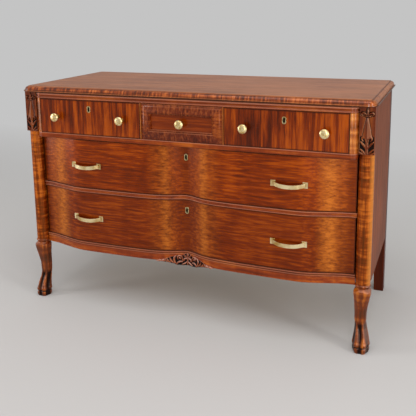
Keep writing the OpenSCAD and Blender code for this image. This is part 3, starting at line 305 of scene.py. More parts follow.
        # the painted highlight lies on the same outward side on the left half as on the right
        normal = add_node(tree, "NewGeometry").outputs["Normal"]
        facing = add_node(tree, "SeparateXYZ", links={"Vector": normal})
        half = add_node(tree, "Math", {"operation": "SIGN"}, {0: split.outputs["X"]})
        turned = add_node(tree, "Math", {"operation": "MULTIPLY"}, {
            0: facing.outputs["X"], 1: half.outputs[0]})
        mirrored = add_node(tree, "CombineXYZ", links={
            "X": turned.outputs[0], "Y": facing.outputs["Y"], "Z": facing.outputs["Z"]})
        towards = add_node(tree, "VectorMath", {"operation": "DOT_PRODUCT"}, {
            0: mirrored.outputs[0], 1: Vector(painted_highlight_to).normalized()})
        pale = add_node(tree, "MapRange", links={
            "Value": towards.outputs["Value"], "From Min": painted_highlight_from,
            "From Max": painted_highlight_from + 0.45, "To Min": 0.0, "To Max": painted_highlight})
        over.append((pale.outputs["Result"], highlight_colour))
    colour = ramp.outputs["Color"]
    for share, other in over:
        colour = add_node(tree, "Mix", {"data_type": "RGBA"}, {
            "Factor": share, "A": colour, "B": linear(other)}).outputs["Result"]

    rough = add_node(tree, "MapRange", links={
        "Value": pores.outputs["Fac"], "From Min": 0.3, "From Max": 0.7,
        "To Min": gloss + 0.08, "To Max": gloss - 0.05})
    bump = add_node(tree, "Bump", links={
        "Height": pores.outputs["Fac"], "Strength": 0.08, "Distance": 0.0004})
    shader = add_node(tree, "BsdfPrincipled", links={
        "Base Color": colour, "Roughness": rough.outputs["Result"], "IOR": 1.5,
        "Specular IOR Level": 0.12, "Coat Weight": coat, "Coat Roughness": 0.16, "Coat IOR": 1.5,
        "Normal": bump.outputs[0]})
    sheen = add_node(tree, "BsdfAnisotropic", links={
        "Color": linear(light), "Roughness": 0.42, "Normal": bump.outputs[0]})
    polished = add_node(tree, "MixShader", links={
        0: fire, 1: shader.outputs[0], 2: sheen.outputs[0]})
    tree.links.new(polished.outputs[0], out.inputs["Surface"])
    return material


def dress(node, *materials, ease_width=0.0006, ease_steps=2):
    """Gives a CAD node its materials, and eases its edges as a cabinet maker does."""
    piece = nodes[node]
    piece.data.materials.clear()
    for material in materials:
        piece.data.materials.append(material)
    for face in piece.data.polygons:
        face.use_smooth = True
    weld = piece.modifiers.new("weld", "WELD")
    weld.merge_threshold = 0.00001
    ease = piece.modifiers.new("eased_edges", "BEVEL")
    ease.width = ease_width
    ease.segments = ease_steps
    ease.limit_method = "ANGLE"
    ease.angle_limit = radians(28)
    flat = piece.modifiers.new("flat_faces", "WEIGHTED_NORMAL")
    flat.keep_sharp = True
    return piece


# rubbed back: brown and nearly matt, with faint upright stripes
side_mahogany = mahogany(
    "rubbed_mahogany_side", "#5c2808", "#7c3a12", "#964818", grain="Z", stripe=0.010,
    spread=0.5, seed=3.2, gloss=0.45, coat=0.03)
for node in ("left_side_panel", "right_side_panel"):
    dress(node, side_mahogany)
# stained, with little polish: plain and dark
leg_mahogany = mahogany(
    "dark_mahogany_leg", "#2c0a00", "#4a1600", "#62240a", grain="Z", stripe=0.008,
    spread=0.5, seed=4.1, gloss=0.38, coat=0.15)
for node in ("left_rear_leg", "right_rear_leg"):
    dress(node, leg_mahogany)

# Corner posts
# A carved block over a round column, turned and carved from one length of curly mahogany,
# with the ground of the carving cut back, and the square stile of the side panel behind.
# curly wood: dark and amber bars cross it, and a painted highlight lies pale amber on its outward
# flank
column_mahogany = mahogany(
    "curly_mahogany_column", "#240600", "#6c2404", "#c0641a", grain="Z", stripe=0.004,
    bar=1.0, bar_pitch=0.0045, spread=0.50, seed=5.7, gloss=0.22, coat=0.05, fire=0.25,
    highlight_colour="#f49c44", painted_highlight=0.95, painted_highlight_to=(0.95, -0.3, 0.0), painted_highlight_from=0.70)
# painted shade nearly black in the cuts of the ground, and a painted highlight in warm brown on
# crests that face outward and up
carved_mahogany = mahogany(
    "carved_mahogany", "#360c00", "#602002", "#8c4410", grain="Z", stripe=0.006,
    bar=0.3, spread=0.5, seed=5.7, gloss=0.28, coat=0.4, ground="#140400",
    highlight_colour="#c88c64", painted_highlight=0.65, painted_highlight_to=(0.75, -0.45, 0.5), painted_highlight_from=0.55)


def leaf_height(points, spine, widths, height, vein=0.0):
    """Height that one carved leaf gives at each point, in millimetres. Its spine bends through
    three points, and widths holds its half width at its foot, its middle and its tip."""
    t = np.linspace(0, 1, 25)[:, None]
    foot, bend, tip = (np.array(p, float) for p in spine)
    line = (1 - t) ** 2 * foot + 2 * t * (1 - t) * bend + t ** 2 * tip
    gap = np.linalg.norm(points[:, None, :] - line[None], axis=2)
    nearest = gap.argmin(axis=1)
    apart = gap.min(axis=1)
    half = np.interp(t[nearest, 0], (0, 0.5, 1), widths)
    across = np.clip(apart / half, 0, 1)
    rise = height * np.sqrt(1 - across ** 2) - vein * np.exp(-(across / 0.3) ** 2)
    return np.where(apart < half, rise, 0)


def carve(bm, width, height, cell, relief, place, back, ground_rise, full_rise):
    """Adds a carved piece, closed all round, that starts as a flat grid. relief(points) gives
    the height of the carving in millimetres, or less than zero where the piece is cut away;
    place(x, z, height) gives a point's place; back is how deep the flat back lies. The
    attribute rise runs from 0 at ground_rise to 1 at full_rise."""
    layers = bm.verts.layers.float
    lift, rise = (layers.get(key) or layers.new(key) for key in ("lift", "rise"))
    before = set(bm.verts)
    bmesh.ops.create_grid(
        bm, x_segments=round(width / cell), y_segments=round(height / cell), size=0.5)
    verts = [v for v in bm.verts if v not in before]
    bmesh.ops.scale(bm, vec=(width, height, 1), verts=verts)
    for v, h in zip(verts, relief(np.array([v.co.to_2d() for v in verts]))):
        v[lift] = h
        v[rise] = min(max((h - ground_rise) / (full_rise - ground_rise), 0), 1)
    faces = list({f for v in verts for f in v.link_faces})
    outside = [f for f in faces if min(v[lift] for v in f.verts) < 0]
    bmesh.ops.delete(bm, geom=outside, context="FACES")
    faces = [f for f in faces if f.is_valid]
    grown = bmesh.ops.extrude_face_region(bm, geom=faces)["geom"]
    front = {v for v in grown if isinstance(v, bmesh.types.BMVert)}
    for v in [v for v in bm.verts if v not in before]:
        v.co = place(v.co.x, v.co.y, v[lift] if v in front else -back)
    return [f for f in grown if isinstance(f, bmesh.types.BMFace)]


post_low, post_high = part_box("right_front_post")
carving_proud = 0.0025
block_drop = 0.0005
block_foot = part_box("upper_stiles")[0].z - block_drop
block_size = Vector((post_high.x - post_low.x, 0, post_high.z - block_foot)) * 1000
column_x = (post_low.x + post_high.x) / 2
column_y = post_low.y + carving_proud + block_size.x / 2000
column_r = block_size.x / 2000
stile_gap = 0.002
stile_low = Vector((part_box("upper_stiles")[1].x + stile_gap, column_y, post_low.z))
stile_high = Vector((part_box("right_side_panel")[1].x, post_high.y, post_high.z))
block_sink = 1.6
block_leaves = [
    # spine from foot to tip, half widths, height, vein; millimetres from the block's foot
    (((0, 118), (0, 126), (0, 136)), (2.2, 4.2, 0.8), 5.0, 0.0),
    (((2, 116), (9, 124), (15, 122)), (1.6, 2.6, 2.8), 4.4, 0.0),
    (((15, 122), (20, 118), (14, 115)), (2.6, 2.2, 1.6), 4.4, 0.0),
    (((0, 111), (4, 114), (8, 112)), (1.6, 2.0, 1.2), 3.8, 0.0),
    (((2, 2), (1, 24), (2, 50)), (2.6, 3.0, 1.6), 4.8, 0.8),
    (((2, 17), (8, 28), (18, 37)), (2.4, 3.4, 2.0), 4.8, 1.0),
    (((5, 1), (10, 9), (18, 15)), (2.2, 3.2, 2.0), 4.6, 0.9),
    (((11, 1), (15, 3), (21, 6)), (2.0, 2.4, 1.4), 4.2, 0.5),
    (((3, 38), (5, 54), (12, 51)), (2.0, 2.4, 2.4), 4.6, 0.4),
    (((12, 51), (17, 46), (11, 40)), (2.4, 2.2, 1.4), 4.6, 0.4),
]
spray_top = 50
rim_w = 1.6
spear_point = 111.0
spear_foot = 48.0
spear_half_w = 14.0
spear_tip_half_w = 1.6
trefoil_margin = 1.8
trefoil_ground = 0.3


def block_relief(points):
    """The carving of a corner block: trefoil, tapering spear and a spray of leaves. The wood
    is left at full height beside them, and cut deep among the leaves."""
    x, z = abs(points[:, 0]), points[:, 1] + block_size.z / 2
    margin = np.minimum(np.minimum(block_size.x / 2 - x, block_size.z - z), z)
    plain = np.clip((z - spray_top) / 6, 0, 1)
    heights = np.maximum(block_sink * plain, block_sink * (margin < rim_w))
    share = (spear_point - z) / (spear_point - spear_foot)
    half = spear_tip_half_w + (spear_half_w - spear_tip_half_w) * share
    spear = block_sink + (1.2 + 3.6 * share) * (1 - x / half)
    # a narrow groove is cut along each side of the spear and round the trefoil
    groove = block_sink - 1.6 * np.exp(-((x - half - 1.2) / 1.2) ** 2)
    along = (z > spear_foot) & (z < spear_point)
    beside = np.where(x < half, np.maximum(heights, spear), np.minimum(heights, groove))
    heights = np.where(along, beside, heights)
    spread = np.stack([x, z], axis=1)
    trefoil = np.zeros(len(x))
    for spine, widths, height, vein in block_leaves:
        if spine[0][1] > spear_point - 1:
            wide = tuple(w + trefoil_margin for w in widths)
            trefoil = np.maximum(trefoil, leaf_height(spread, spine, wide, 1.0) > 0)
    heights = np.where((trefoil > 0) & (margin > rim_w), trefoil_ground, heights)
    for spine, widths, height, vein in block_leaves:
        heights = np.maximum(heights, leaf_height(spread, spine, widths, height, vein))
    return heights


def turn_on_lathe(bm, profile, centre, axis, steps):
    """Turns a profile of points, given as vectors, all round an axis."""
    chain = [bm.verts.new(p) for p in profile]
    links = [bm.edges.new(pair) for pair in zip(chain, chain[1:])]
    bmesh.ops.spin(
        bm, geom=chain + links, cent=centre, axis=axis, angle=2 * pi, steps=steps,
        use_merge=True)


carving_cell = 0.75
column_swelling = 0.0004
column_rings = 15
column_steps = 72
column_into_block = 0.0002
stile_ease = 0.0008
same_place = 0.000001


def front_post(side):
    """One corner post as a mesh; side is 1 at the right and -1 at the left."""
    bm = bmesh.new()
    middle_z = (block_foot + post_high.z) / 2
    face_y = post_low.y + carving_proud
    axis_x = side * column_x

    def on_block(x, z, height):
        return (axis_x + x / 1000, face_y - (height - block_sink) / 1000, middle_z + z / 1000)

    front = carve(bm, block_size.x, block_size.z, carving_cell, block_relief, on_block,
                  back=block_size.x - block_sink, ground_rise=0.4, full_rise=1.5)
    for face in front:
        face.material_index = 1
    # the block's outward face is rubbed back like the side panel behind it
    outer_x = column_x + 0.4 * block_size.x / 1000
    for face in bm.faces:
        if face.material_index == 0 and abs(face.calc_center_median().x) > outer_x:
            face.material_index = 2
    # the turned column, with a slight swelling in the middle of its height
    heights = np.linspace(post_low.z, block_foot + column_into_block, column_rings)
    share = np.linspace(-1, 1, column_rings)
    profile = [Vector((axis_x, column_y, heights[0]))]
    profile += [Vector((axis_x + column_r - column_swelling * s * s, column_y, z))
                for s, z in zip(share, heights)]
    profile += [Vector((axis_x, column_y, heights[-1]))]
    turn_on_lathe(bm, profile, (axis_x, column_y, 0), (0, 0, 1), column_steps)
    # the stile
    size = stile_high - stile_low
    middle = (stile_high + stile_low) / 2
    stile = bmesh.ops.create_cube(bm, size=1)["verts"]
    bmesh.ops.scale(bm, vec=size, verts=stile)
    bmesh.ops.translate(bm, vec=(side * middle.x, middle.y, middle.z), verts=stile)
    for face in {f for v in stile for f in v.link_faces}:
        face.material_index = 2
    stile_edges = list({e for v in stile for e in v.link_edges})
    bmesh.ops.bevel(
        bm, geom=stile_edges, offset=stile_ease, segments=2, profile=0.5, affect="EDGES",
        material=-1)
    bmesh.ops.remove_doubles(bm, verts=bm.verts, dist=same_place)
    bmesh.ops.recalc_face_normals(bm, faces=bm.faces)
    # only the carved face has ground that is cut back and darkened by painted shade
    rise = bm.verts.layers.float["rise"]
    for v in bm.verts:
        if all(f.material_index != 1 for f in v.link_faces):
            v[rise] = 1
    return bm


def shade(piece, degrees):
    """Shades a piece smooth, apart from the edges that turn sharper than this."""
    piece.data.shade_smooth()
    piece.data.set_sharp_from_angle(angle=radians(degrees))


for side, name in ((-1, "left"), (1, "right")):
    post = link_mesh(front_post(side), name + "_carved_post",
                     [column_mahogany, carved_mahogany, side_mahogany])
    shade(post, 50)
    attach(post, "case")
    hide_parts(name + "_front_post")

# Front legs
# Each is shaped from one block: a ring and a hollow under the column, a knee with a flat
# # front, a slim ankle, and a paw with its toes and claws cut in, with painted highlights on them
# # and painted shade between.
# curly and polished: amber bars on red brown, painted shade nearly black between the toes, and a
# painted highlight on faces turned outward and up
leg_wood = mahogany(
    "carved_mahogany_leg", "#280800", "#6a2404", "#b8641a", grain="Z", stripe=0.006,
    bar=0.8, bar_pitch=0.010, spread=0.5, seed=5.2, gloss=0.26, coat=0.5, fire=0.2,
    ground="#1a0600", painted_highlight=0.35, painted_highlight_to=(0.6, -0.2, 0.77), painted_highlight_from=0.55)
leg_h = post_low.z * 1000
leg_stations = np.array([
    # share of the height, then in column radii: outward, forward, half width; and squareness
    (0.000, 0.02, 0.56, 1.04, 0.1), (0.030, 0.02, 0.60, 1.16, 0.1), (0.100, 0.02, 0.57, 1.19, 0.1),
    (0.180, 0.01, 0.44, 1.15, 0.1), (0.255, -0.02, 0.24, 1.02, 0.2),
    (0.340, -0.12, -0.01, 0.86, 0.5), (0.425, -0.19, -0.12, 0.79, 0.8),
    (0.575, -0.18, -0.12, 0.82, 1.0), (0.720, -0.09, 0.04, 0.96, 1.0),
    (0.850, -0.02, 0.12, 1.15, 1.0), (0.890, -0.01, 0.13, 1.17, 1.0),
    (0.912, -0.01, 0.12, 1.15, 0.9), (0.926, 0.00, 0.06, 1.04, 0.5),
    (0.945, 0.00, 0.01, 0.94, 0.0), (0.960, 0.00, 0.00, 0.98, 0.0), (0.966, 0.00, 0.00, 1.00, 0.0),
    (0.970, 0.00, 0.00, 1.07, 0.0), (0.980, 0.00, 0.00, 1.10, 0.0), (0.990, 0.00, 0.00, 1.07, 0.0),
    (1.000, 0.00, 0.00, 1.01, 0.0),
])
facet_turns = np.radians(np.arange(0, 360, 45))
# the corner facets lie a little further out than the front, back and side ones
facet_reach = np.array([1.0, 1.10] * 4)
toe_turns = np.radians([-105, -30, 30, 105])
# heights from the floor, in millimetres
paw_top = 100
tendon_top = 84
knuckle_z = 28
nail_z = 19.5
claw_top = 17
claw_z = 11


def leg_radius(turn, height, squareness):
    """How far the leg reaches at an angle from the front, in half widths, and how much of the
    polish and of the light is left on it there: where it falls, painted shade darkens the wood.
    height is in millimetres."""
    flat = np.maximum(np.cos(turn - facet_turns), 0) / facet_reach
    reach = (1 - squareness) + squareness * (flat ** 14).sum() ** (-1 / 14)
    if height > paw_top:
        return reach, 1.0
    gap = min(abs((turn - t + pi) % (2 * pi) - pi) for t in toe_turns)
    front = 0.35 + 0.65 * cos(turn / 2) ** 2
    # slim tendons high up, which widen into round toes that nearly touch
    width = np.interp(height, (0, 30, 44, 96), (26, 28, 19, 9))
    ridge = float(np.exp(-(gap / radians(width)) ** 2))
    cut = front * np.interp(
        height, (0, 10, 30, 60, tendon_top, paw_top), (0.18, 0.28, 0.28, 0.22, 0.12, 0.0))
    knuckle = 0.09 * np.exp(-((height - knuckle_z) / 5.0) ** 2)
    nail = np.exp(-((height - nail_z) / 2.4) ** 2)
    claw = 0.06 * np.exp(-((height - claw_z) / 5) ** 2)
    narrow = float(np.exp(-(gap / radians(17)) ** 2))
    worked = ridge * knuckle - 0.13 * ridge * nail + 0.5 * narrow * claw
    reach *= 1 - cut * (1 - ridge) + front * worked
    polish_and_light = np.interp(ridge - 0.9 * nail, (0.25, 0.85), (0.0, 1))
    if height < claw_top:
        polish_and_light = min(polish_and_light, np.interp(narrow, (0.3, 0.75), (0.0, 1)))
    return reach, max(polish_and_light, np.interp(height, (tendon_top, paw_top), (0, 1)))


def draw_out(bm, sides, levels, place):
    """Draws out a closed tube. A ring of vertices is extruded once for each level after the
    first, and place(level, turn) gives each vertex its place; turn runs from 0 to 1."""
    turn = bm.verts.layers.float.get("turn") or bm.verts.layers.float.new("turn")
    ring = bmesh.ops.create_circle(bm, segments=sides, radius=1)["verts"]
    for i, v in enumerate(ring):
        v[turn] = i / sides
    rings = [ring]
    edges = list({e for v in ring for e in v.link_edges})
    for _ in levels[1:]:
        grown = bmesh.ops.extrude_edge_only(bm, edges=edges)["geom"]
        ring = [g for g in grown if isinstance(g, bmesh.types.BMVert)]
        here = set(ring)
        edges = [g for g in grown
                 if isinstance(g, bmesh.types.BMEdge) and here.issuperset(g.verts)]
        rings.append(ring)
    for level, ring in zip(levels, rings):
        for v in ring:
            v.co = place(level, v[turn])
    for end in (rings[0], rings[-1]):
        bm.faces.new(sorted(end, key=lambda v: v[turn]))
    return rings


def front_leg(side):
    """One front leg as a mesh, drawn out from its sole up to the ring under the column."""
    bm = bmesh.new()
    rise = bm.verts.layers.float.new("rise")
    # levels lie close together over the paw and the ring, and further apart up the shank
    levels = np.unique(np.concatenate([
        np.linspace(0, 0.48, 76), np.linspace(0.48, 0.88, 14), np.linspace(0.88, 1, 26)])).tolist()

    def shape(level, turn):
        out, forward, half, square = (
            float(np.interp(level, leg_stations[:, 0], leg_stations[:, k])) for k in range(1, 5))
        angle = 2 * pi * turn
        angle = angle - 2 * pi if angle > pi else angle
        reach, polish_and_light = leg_radius(angle, level * leg_h, square)
        x = side * (column_x + column_r * (out + half * reach * sin(angle)))
        y = column_y + column_r * (-forward - half * reach * cos(angle))
        return (x, y, level * leg_h / 1000), polish_and_light

    rings = draw_out(bm, 96, levels, lambda level, turn: shape(level, turn)[0])
    turn = bm.verts.layers.float["turn"]
    for level, ring in zip(levels, rings):
        for v in ring:
            v[rise] = shape(level, v[turn])[1]
    # smoothing takes the steps of the stations out of the shank
    shank = [v for ring in rings[78:88] for v in ring]
    bmesh.ops.smooth_vert(bm, verts=shank, factor=0.5, use_axis_x=True, use_axis_y=True)
    bmesh.ops.recalc_face_normals(bm, faces=bm.faces)
    return bm


for side, name in ((-1, "left"), (1, "right")):
    leg = link_mesh(front_leg(side), name + "_paw_leg", [leg_wood])
    shade(leg, 60)
    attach(leg, "case")
    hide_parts(name + "_front_leg")

# Rails
# Shaped to the swell of the fronts, with a round bead worked along their edges: the rail
# under the small drawers is straight, and the frieze over them is a beaded strip.
rail_highlight_and_shade_lines = {
    # height in metres, then how strong the painted highlight and the painted shade are there
    "mid_rail": (
        (0.4215, 0, 0.9), (0.4228, 0, 0.6), (0.4236, 0.45, 0), (0.4244, 0.45, 0),
        (0.4254, 0, 0.5), (0.4270, 0, 0), (0.4316, 0, 0), (0.4332, 0, 0.5),
        (0.4344, 0.5, 0), (0.4354, 0.5, 0), (0.4365, 0, 0.7)),
    "base_rail": (
        (0.2070, 0, 0.35), (0.2100, 0, 0), (0.2265, 0, 0.05), (0.2290, 0, 0.55),
        (0.2306, 0.30, 0), (0.2320, 0.30, 0), (0.2334, 0, 0.7), (0.2368, 0, 0.6),
        (0.2382, 0.35, 0), (0.2394, 0.4, 0), (0.2405, 0, 0.7)),
    "upper_rail": (
        (0.6070, 0, 0.9), (0.6092, 0, 0.1), (0.6206, 0, 0.1), (0.6218, 0.45, 0),
        (0.6235, 0.45, 0)),
    "frieze_moulding": (
        (0.7435, 0, 0.8), (0.7450, 0, 0.3), (0.7460, 0.40, 0), (0.7474, 0.45, 0),
        (0.7490, 0, 0.35), (0.7560, 0, 0.35), (0.7572, 0.55, 0), (0.7600, 0.6, 0),
        (0.7614, 0, 0.9), (0.7655, 0, 0.9)),
}
for node, stops in rail_highlight_and_shade_lines.items():
    # polished red brown, with painted highlights pale on the beads and faces turned up, and
    # painted shade black in the quirks
    moulded_mahogany = mahogany(
        node + "_polished_mahogany", "#561602", "#88320a", "#b85c16", grain="X", stripe=0.005,
        bar=0.3, bar_pitch=0.012, spread=0.5, seed=6.3 + stops[0][0], gloss=0.24, coat=0.3,
        painted_highlight=0.2, highlight_colour="#cc8c70", highlight_and_shade_lines=(stops[0][0], stops[-1][0], stops))
    dress(node, moulded_mahogany, ease_width=0.0012, ease_steps=3)

# Stiles and dividers of the small drawers
# Quarter-round stiles of curly mahogany close the row at both ends, and between the drawers
# stand partitions faced with thin strips.
# curly and thickly polished: the palest, most amber wood of the front
stile_mahogany = mahogany(
    "amber_mahogany_stile", "#4c1802", "#a04c16", "#dc8c40", grain="Z", stripe=0.006,
    bar=0.9, bar_pitch=0.012, spread=0.5, seed=7.3, gloss=0.2, coat=0.5)
dress("upper_stiles", stile_mahogany)
# polished red brown, with painted shade dark beside the drawers and a painted amber highlight
# along the strip
divider_mahogany = mahogany(
    "red_mahogany_divider", "#4c1402", "#7c2e08", "#a85414", grain="Z", stripe=0.004,
    spread=0.5, seed=7.9, gloss=0.24, coat=0.4, highlight_and_shade_bends=(
        (0.1408, 0, 0.6), (0.1420, 0, 0), (0.1432, 0.5, 0), (0.1444, 0.5, 0), (0.1456, 0, 0)))
dress("drawer_dividers", divider_mahogany, ease_width=0.0012, ease_steps=3)

# Carving on the base rail
# A shell and scrolls over S leaves that run out to long points, cut in one thin piece that
# # follows the hollow of the rail, with painted shade nearly black on its ground.
hollow_depth = 40.0
hollow_half_w = 58.0
rail_face_back = 0.001
apron_low, apron_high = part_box("apron_carving")
apron_w = (apron_high.x - apron_low.x) * 1000
apron_h = (apron_high.z - apron_low.z) * 1000
apron_middle_z = (apron_low.z + apron_high.z) / 2
rail_low, rail_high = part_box("base_rail")
rail_face = rail_low.y + rail_face_back
apron_leaves = [
    # spine from foot to tip, half widths, height, vein; millimetres from the rail's foot
    (((0, 12), (0, 19), (0, 26)), (2.2, 4.1, 1.9), 5.0, 1.0),
    (((3, 11), (10, 14), (12, 20)), (1.9, 3.3, 2.0), 4.8, 0.8),
    (((0, 9), (0, -2), (0, -15)), (2.0, 3.0, 1.6), 4.8, 0.8),
    (((3, 7), (12, 8), (13, -1)), (1.7, 2.8, 2.0), 4.8, 0.6),
    (((3, -5), (9, -12), (18, -14)), (1.7, 2.7, 1.4), 4.6, 0.6),
    (((17, 0), (17, 17), (27, 17)), (2.0, 2.7, 2.3), 5.0, 0.6),
    (((27, 17), (36, 15), (31, 5)), (2.3, 2.5, 1.6), 5.0, 0.6),
    (((24, 7), (25, 8), (26, 9)), (3.2, 3.2, 3.2), 5.0, 0.0),
    (((18, -5), (30, -2), (36, -13)), (1.9, 3.3, 1.6), 4.8, 1.0),
    (((37, 17), (50, 7), (37, -11)), (1.9, 3.9, 1.6), 5.2, 1.2),
    (((43, -8), (56, -1), (57, 13)), (1.7, 3.3, 1.6), 5.0, 1.0),
    (((55, -6), (65, -1), (67, 9)), (1.7, 3.1, 1.6), 4.8, 0.8),
    (((66, -4), (71, 0), (71, 5)), (1.7, 2.5, 1.6), 4.6, 0.4),
    (((76, 0), (77, 0.5), (78, 1)), (4.6, 4.6, 4.6), 5.0, 0.0),
    (((82, -1), (85, 0), (88, 0)), (2.0, 2.3, 1.9), 4.2, 0.3),
    (((91, -0.5), (92, -0.5), (93, -0.5)), (3.8, 3.8, 3.8), 4.6, 0.0),
    (((95, -1), (99, -1), (104, -1)), (2.0, 1.6, 0.5), 3.8, 0.3),
]
# the outline of the ground: distance from the middle, then how far down and up it reaches
ground_below = ((0, 16, 36, 44, 58, 66, 80, 96, 104), (-17, -18, -16, -12, -8, -6, -4, -3, -2))
ground_above = ((0, 6, 13, 20, 34, 44, 58, 66, 80, 96, 104),
                (26, 24.5, 19, 18, 19.5, 16, 14, 8, 5, 2, 1))


def apron_relief(points):
    """The carving on the base rail: its leaves, and the plate of ground that joins them."""
    foot = apron_low.z + (apron_high.z - apron_low.z) / 2 - rail_low.z
    x, z = abs(points[:, 0]), points[:, 1] + foot * 1000
    inside = (z > np.interp(x, *ground_below)) & (z < np.interp(x, *ground_above))
    heights = np.where(inside, 1.0, -1.0)
    spread = np.stack([x, z], axis=1)
    for spine, widths, height, vein in apron_leaves:
        # a leaf ends where it would be less than a quarter of its height
        on_leaf = leaf_height(spread, spine, widths, 1.0) > 0.25
        leaf = leaf_height(spread, spine, widths, height, vein)
        heights = np.maximum(heights, np.where(on_leaf, leaf, -1.0))
    return heights


def on_rail(x, z, height):
    """A point of the carving, laid against the rail's hollow face."""
    inwards = hollow_depth / (1 + (x / hollow_half_w) ** 2)
    return (x / 1000, rail_face + (inwards - height) / 1000, apron_middle_z + z / 1000)


# polished: the leaves stand out pale and red brown, with a painted highlight on faces turned up,
# from painted shade near black on the ground
apron_wood = mahogany(
    "carved_mahogany_apron", "#5c2410", "#8a4424", "#b8704a", grain="X", stripe=0.005,
    spread=0.5, seed=6.1, gloss=0.26, coat=0.5, ground="#030000", painted_highlight=0.7)
bm = bmesh.new()
carve(bm, apron_w, apron_h, 0.8, apron_relief, on_rail, back=3.0, ground_rise=1.6,
      full_rise=3.4)
bmesh.ops.recalc_face_normals(bm, faces=bm.faces)
apron = link_mesh(bm, "carved_apron", [apron_wood])
shade(apron, 50)
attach(apron, "case")
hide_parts("apron_carving")


# Inner frame and back
# Planed poplar that is never polished: the frame under the top, the back, the dust boards,
# the runners and the stops, with steel screws up into the top.
def planed_poplar(name, stretch):
    """Pale planed poplar, its grain drawn out along one axis: dry, matt and softly striped."""
    ring_pitch = 1 / 60
    material, tree, out = new_material(name)
    place = add_node(tree, "TexCoord").outputs["Object"]
    drawn = add_node(tree, "Mapping", links={"Vector": place, "Scale": stretch})
    rings = add_node(tree, "TexNoise", links={
        "Vector": drawn.outputs[0], "Scale": 1 / ring_pitch, "Detail": 5.0})
    ramp = add_node(tree, "ValToRGB", links={"Fac": rings.outputs["Fac"]})
    ramp.color_ramp.elements[0].position = 0.3
    ramp.color_ramp.elements[0].color = linear("#a98a5c")
    ramp.color_ramp.elements[1].position = 0.7
    ramp.color_ramp.elements[1].color = linear("#cdb388")
    planed = add_node(tree, "Bump", links={
        "Height": rings.outputs["Fac"], "Strength": 0.2, "Distance": 0.0005})
    raw = add_node(tree, "BsdfPrincipled", links={
        "Base Color": ramp.outputs["Color"], "Roughness": 0.7, "IOR": 1.5,
        "Normal": planed.outputs[0]})
    tree.links.new(raw.outputs[0], out.inputs["Surface"])
    return material


poplar = planed_poplar("planed_poplar_across", (0.05, 1, 1))
poplar_deep = planed_poplar("planed_poplar_front_to_back", (1, 0.05, 1))
poplar_upright = planed_poplar("planed_poplar_upright", (1, 1, 0.05))
for node in ("top_frame", "lower_back_rail", "dust_boards", "drawer_stops"):
    dress(node, poplar)
dress("drawer_runners", poplar_deep)
dress("back_boards", poplar_upright)

# filed steel: grey and dull, with strokes drawn about a millimetre wide so that they show
stroke_width = 1 / 900
steel, tree, out = new_material("filed_steel")
place = add_node(tree, "TexCoord").outputs["Object"]
strokes = add_node(tree, "TexNoise", links={
    "Vector": place, "Scale": 1 / stroke_width, "Detail": 3.0})
ramp = add_node(tree, "ValToRGB", links={"Fac": strokes.outputs["Fac"]})
ramp.color_ramp.elements[0].color = linear("#5c5a57")
ramp.color_ramp.elements[1].color = linear("#9c9a96")
filed = add_node(tree, "BsdfPrincipled", links={
    "Base Color": ramp.outputs["Color"], "Metallic": 1.0, "Roughness": 0.42})
tree.links.new(filed.outputs[0], out.inputs["Surface"])
dress("top_screws", steel)

# Top board
# A wide board of plain-sawn mahogany, rubbed and polished. Its ends and front are worked to
# a quarter round over a small flat; along the front the grain shows in bars.
top_edge = 0.016
low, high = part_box("top_board")
# rubbed flat: paler and more even than the fronts, with a soft shine, and painted shade in dark
# lines near its ends and along its lowest edge
top_mahogany = mahogany(
    "polished_mahogany_top", "#864824", "#a66238", "#be7444", grain="X", stripe=0.008,
    spread=0.42, flecks=0.6, swirl=0.01, seed=1.3, gloss=0.34, coat=0.3,
    highlight_and_shade_bends=((0.0, 0, 0), (0.5925, 0, 0), (0.5942, 0, 0.8), (0.5962, 0, 0), (0.606, 0, 0),
           (0.6085, 0, 0.5)),
    highlight_and_shade_lines=(low.z, high.z, (
        (low.z, 0, 0.95), (low.z + 0.0030, 0, 0.9), (low.z + 0.0045, 0, 0), (high.z, 0, 0))))
# thick polish over bars: short dark and amber strokes, painted highlights on the upper corner and
# a thin line near the foot, and painted shade at the foot
edge_mahogany = mahogany(
    "polished_mahogany_top_edge", "#3c1004", "#84360f", "#c0682c", grain="X", stripe=0.005,
    bar=1.1, bar_pitch=0.0035, spread=0.44, seed=2.1, gloss=0.2, coat=0.7, highlight_colour="#d08450",
    highlight_and_shade_lines=(low.z, high.z, (
        (low.z, 0, 0.95), (low.z + 0.0012, 0, 0.95), (low.z + 0.0018, 0.3, 0),
        (low.z + 0.0034, 0.3, 0), (low.z + 0.0042, 0, 0.5), (low.z + 0.0056, 0, 0),
        (high.z - 0.0050, 0, 0), (high.z - 0.0030, 0, 0.35), (high.z - 0.0014, 0.5, 0),
        (high.z, 0.5, 0))))
top = dress("top_board", top_mahogany, edge_mahogany)
for face in top.data.polygons:
    c = face.center
    front = c.y < low.y + top_edge and c.z > low.z + 0.0001
    face.material_index = 1 if front else 0

# Drawer fronts
# The small ones have upright ribbon grain; the long ones are bent to the swell, with rolling
# figure. The middle one has a mitred frame that rises to a crest and drops to a sunk panel.
low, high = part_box("right_drawer_front")
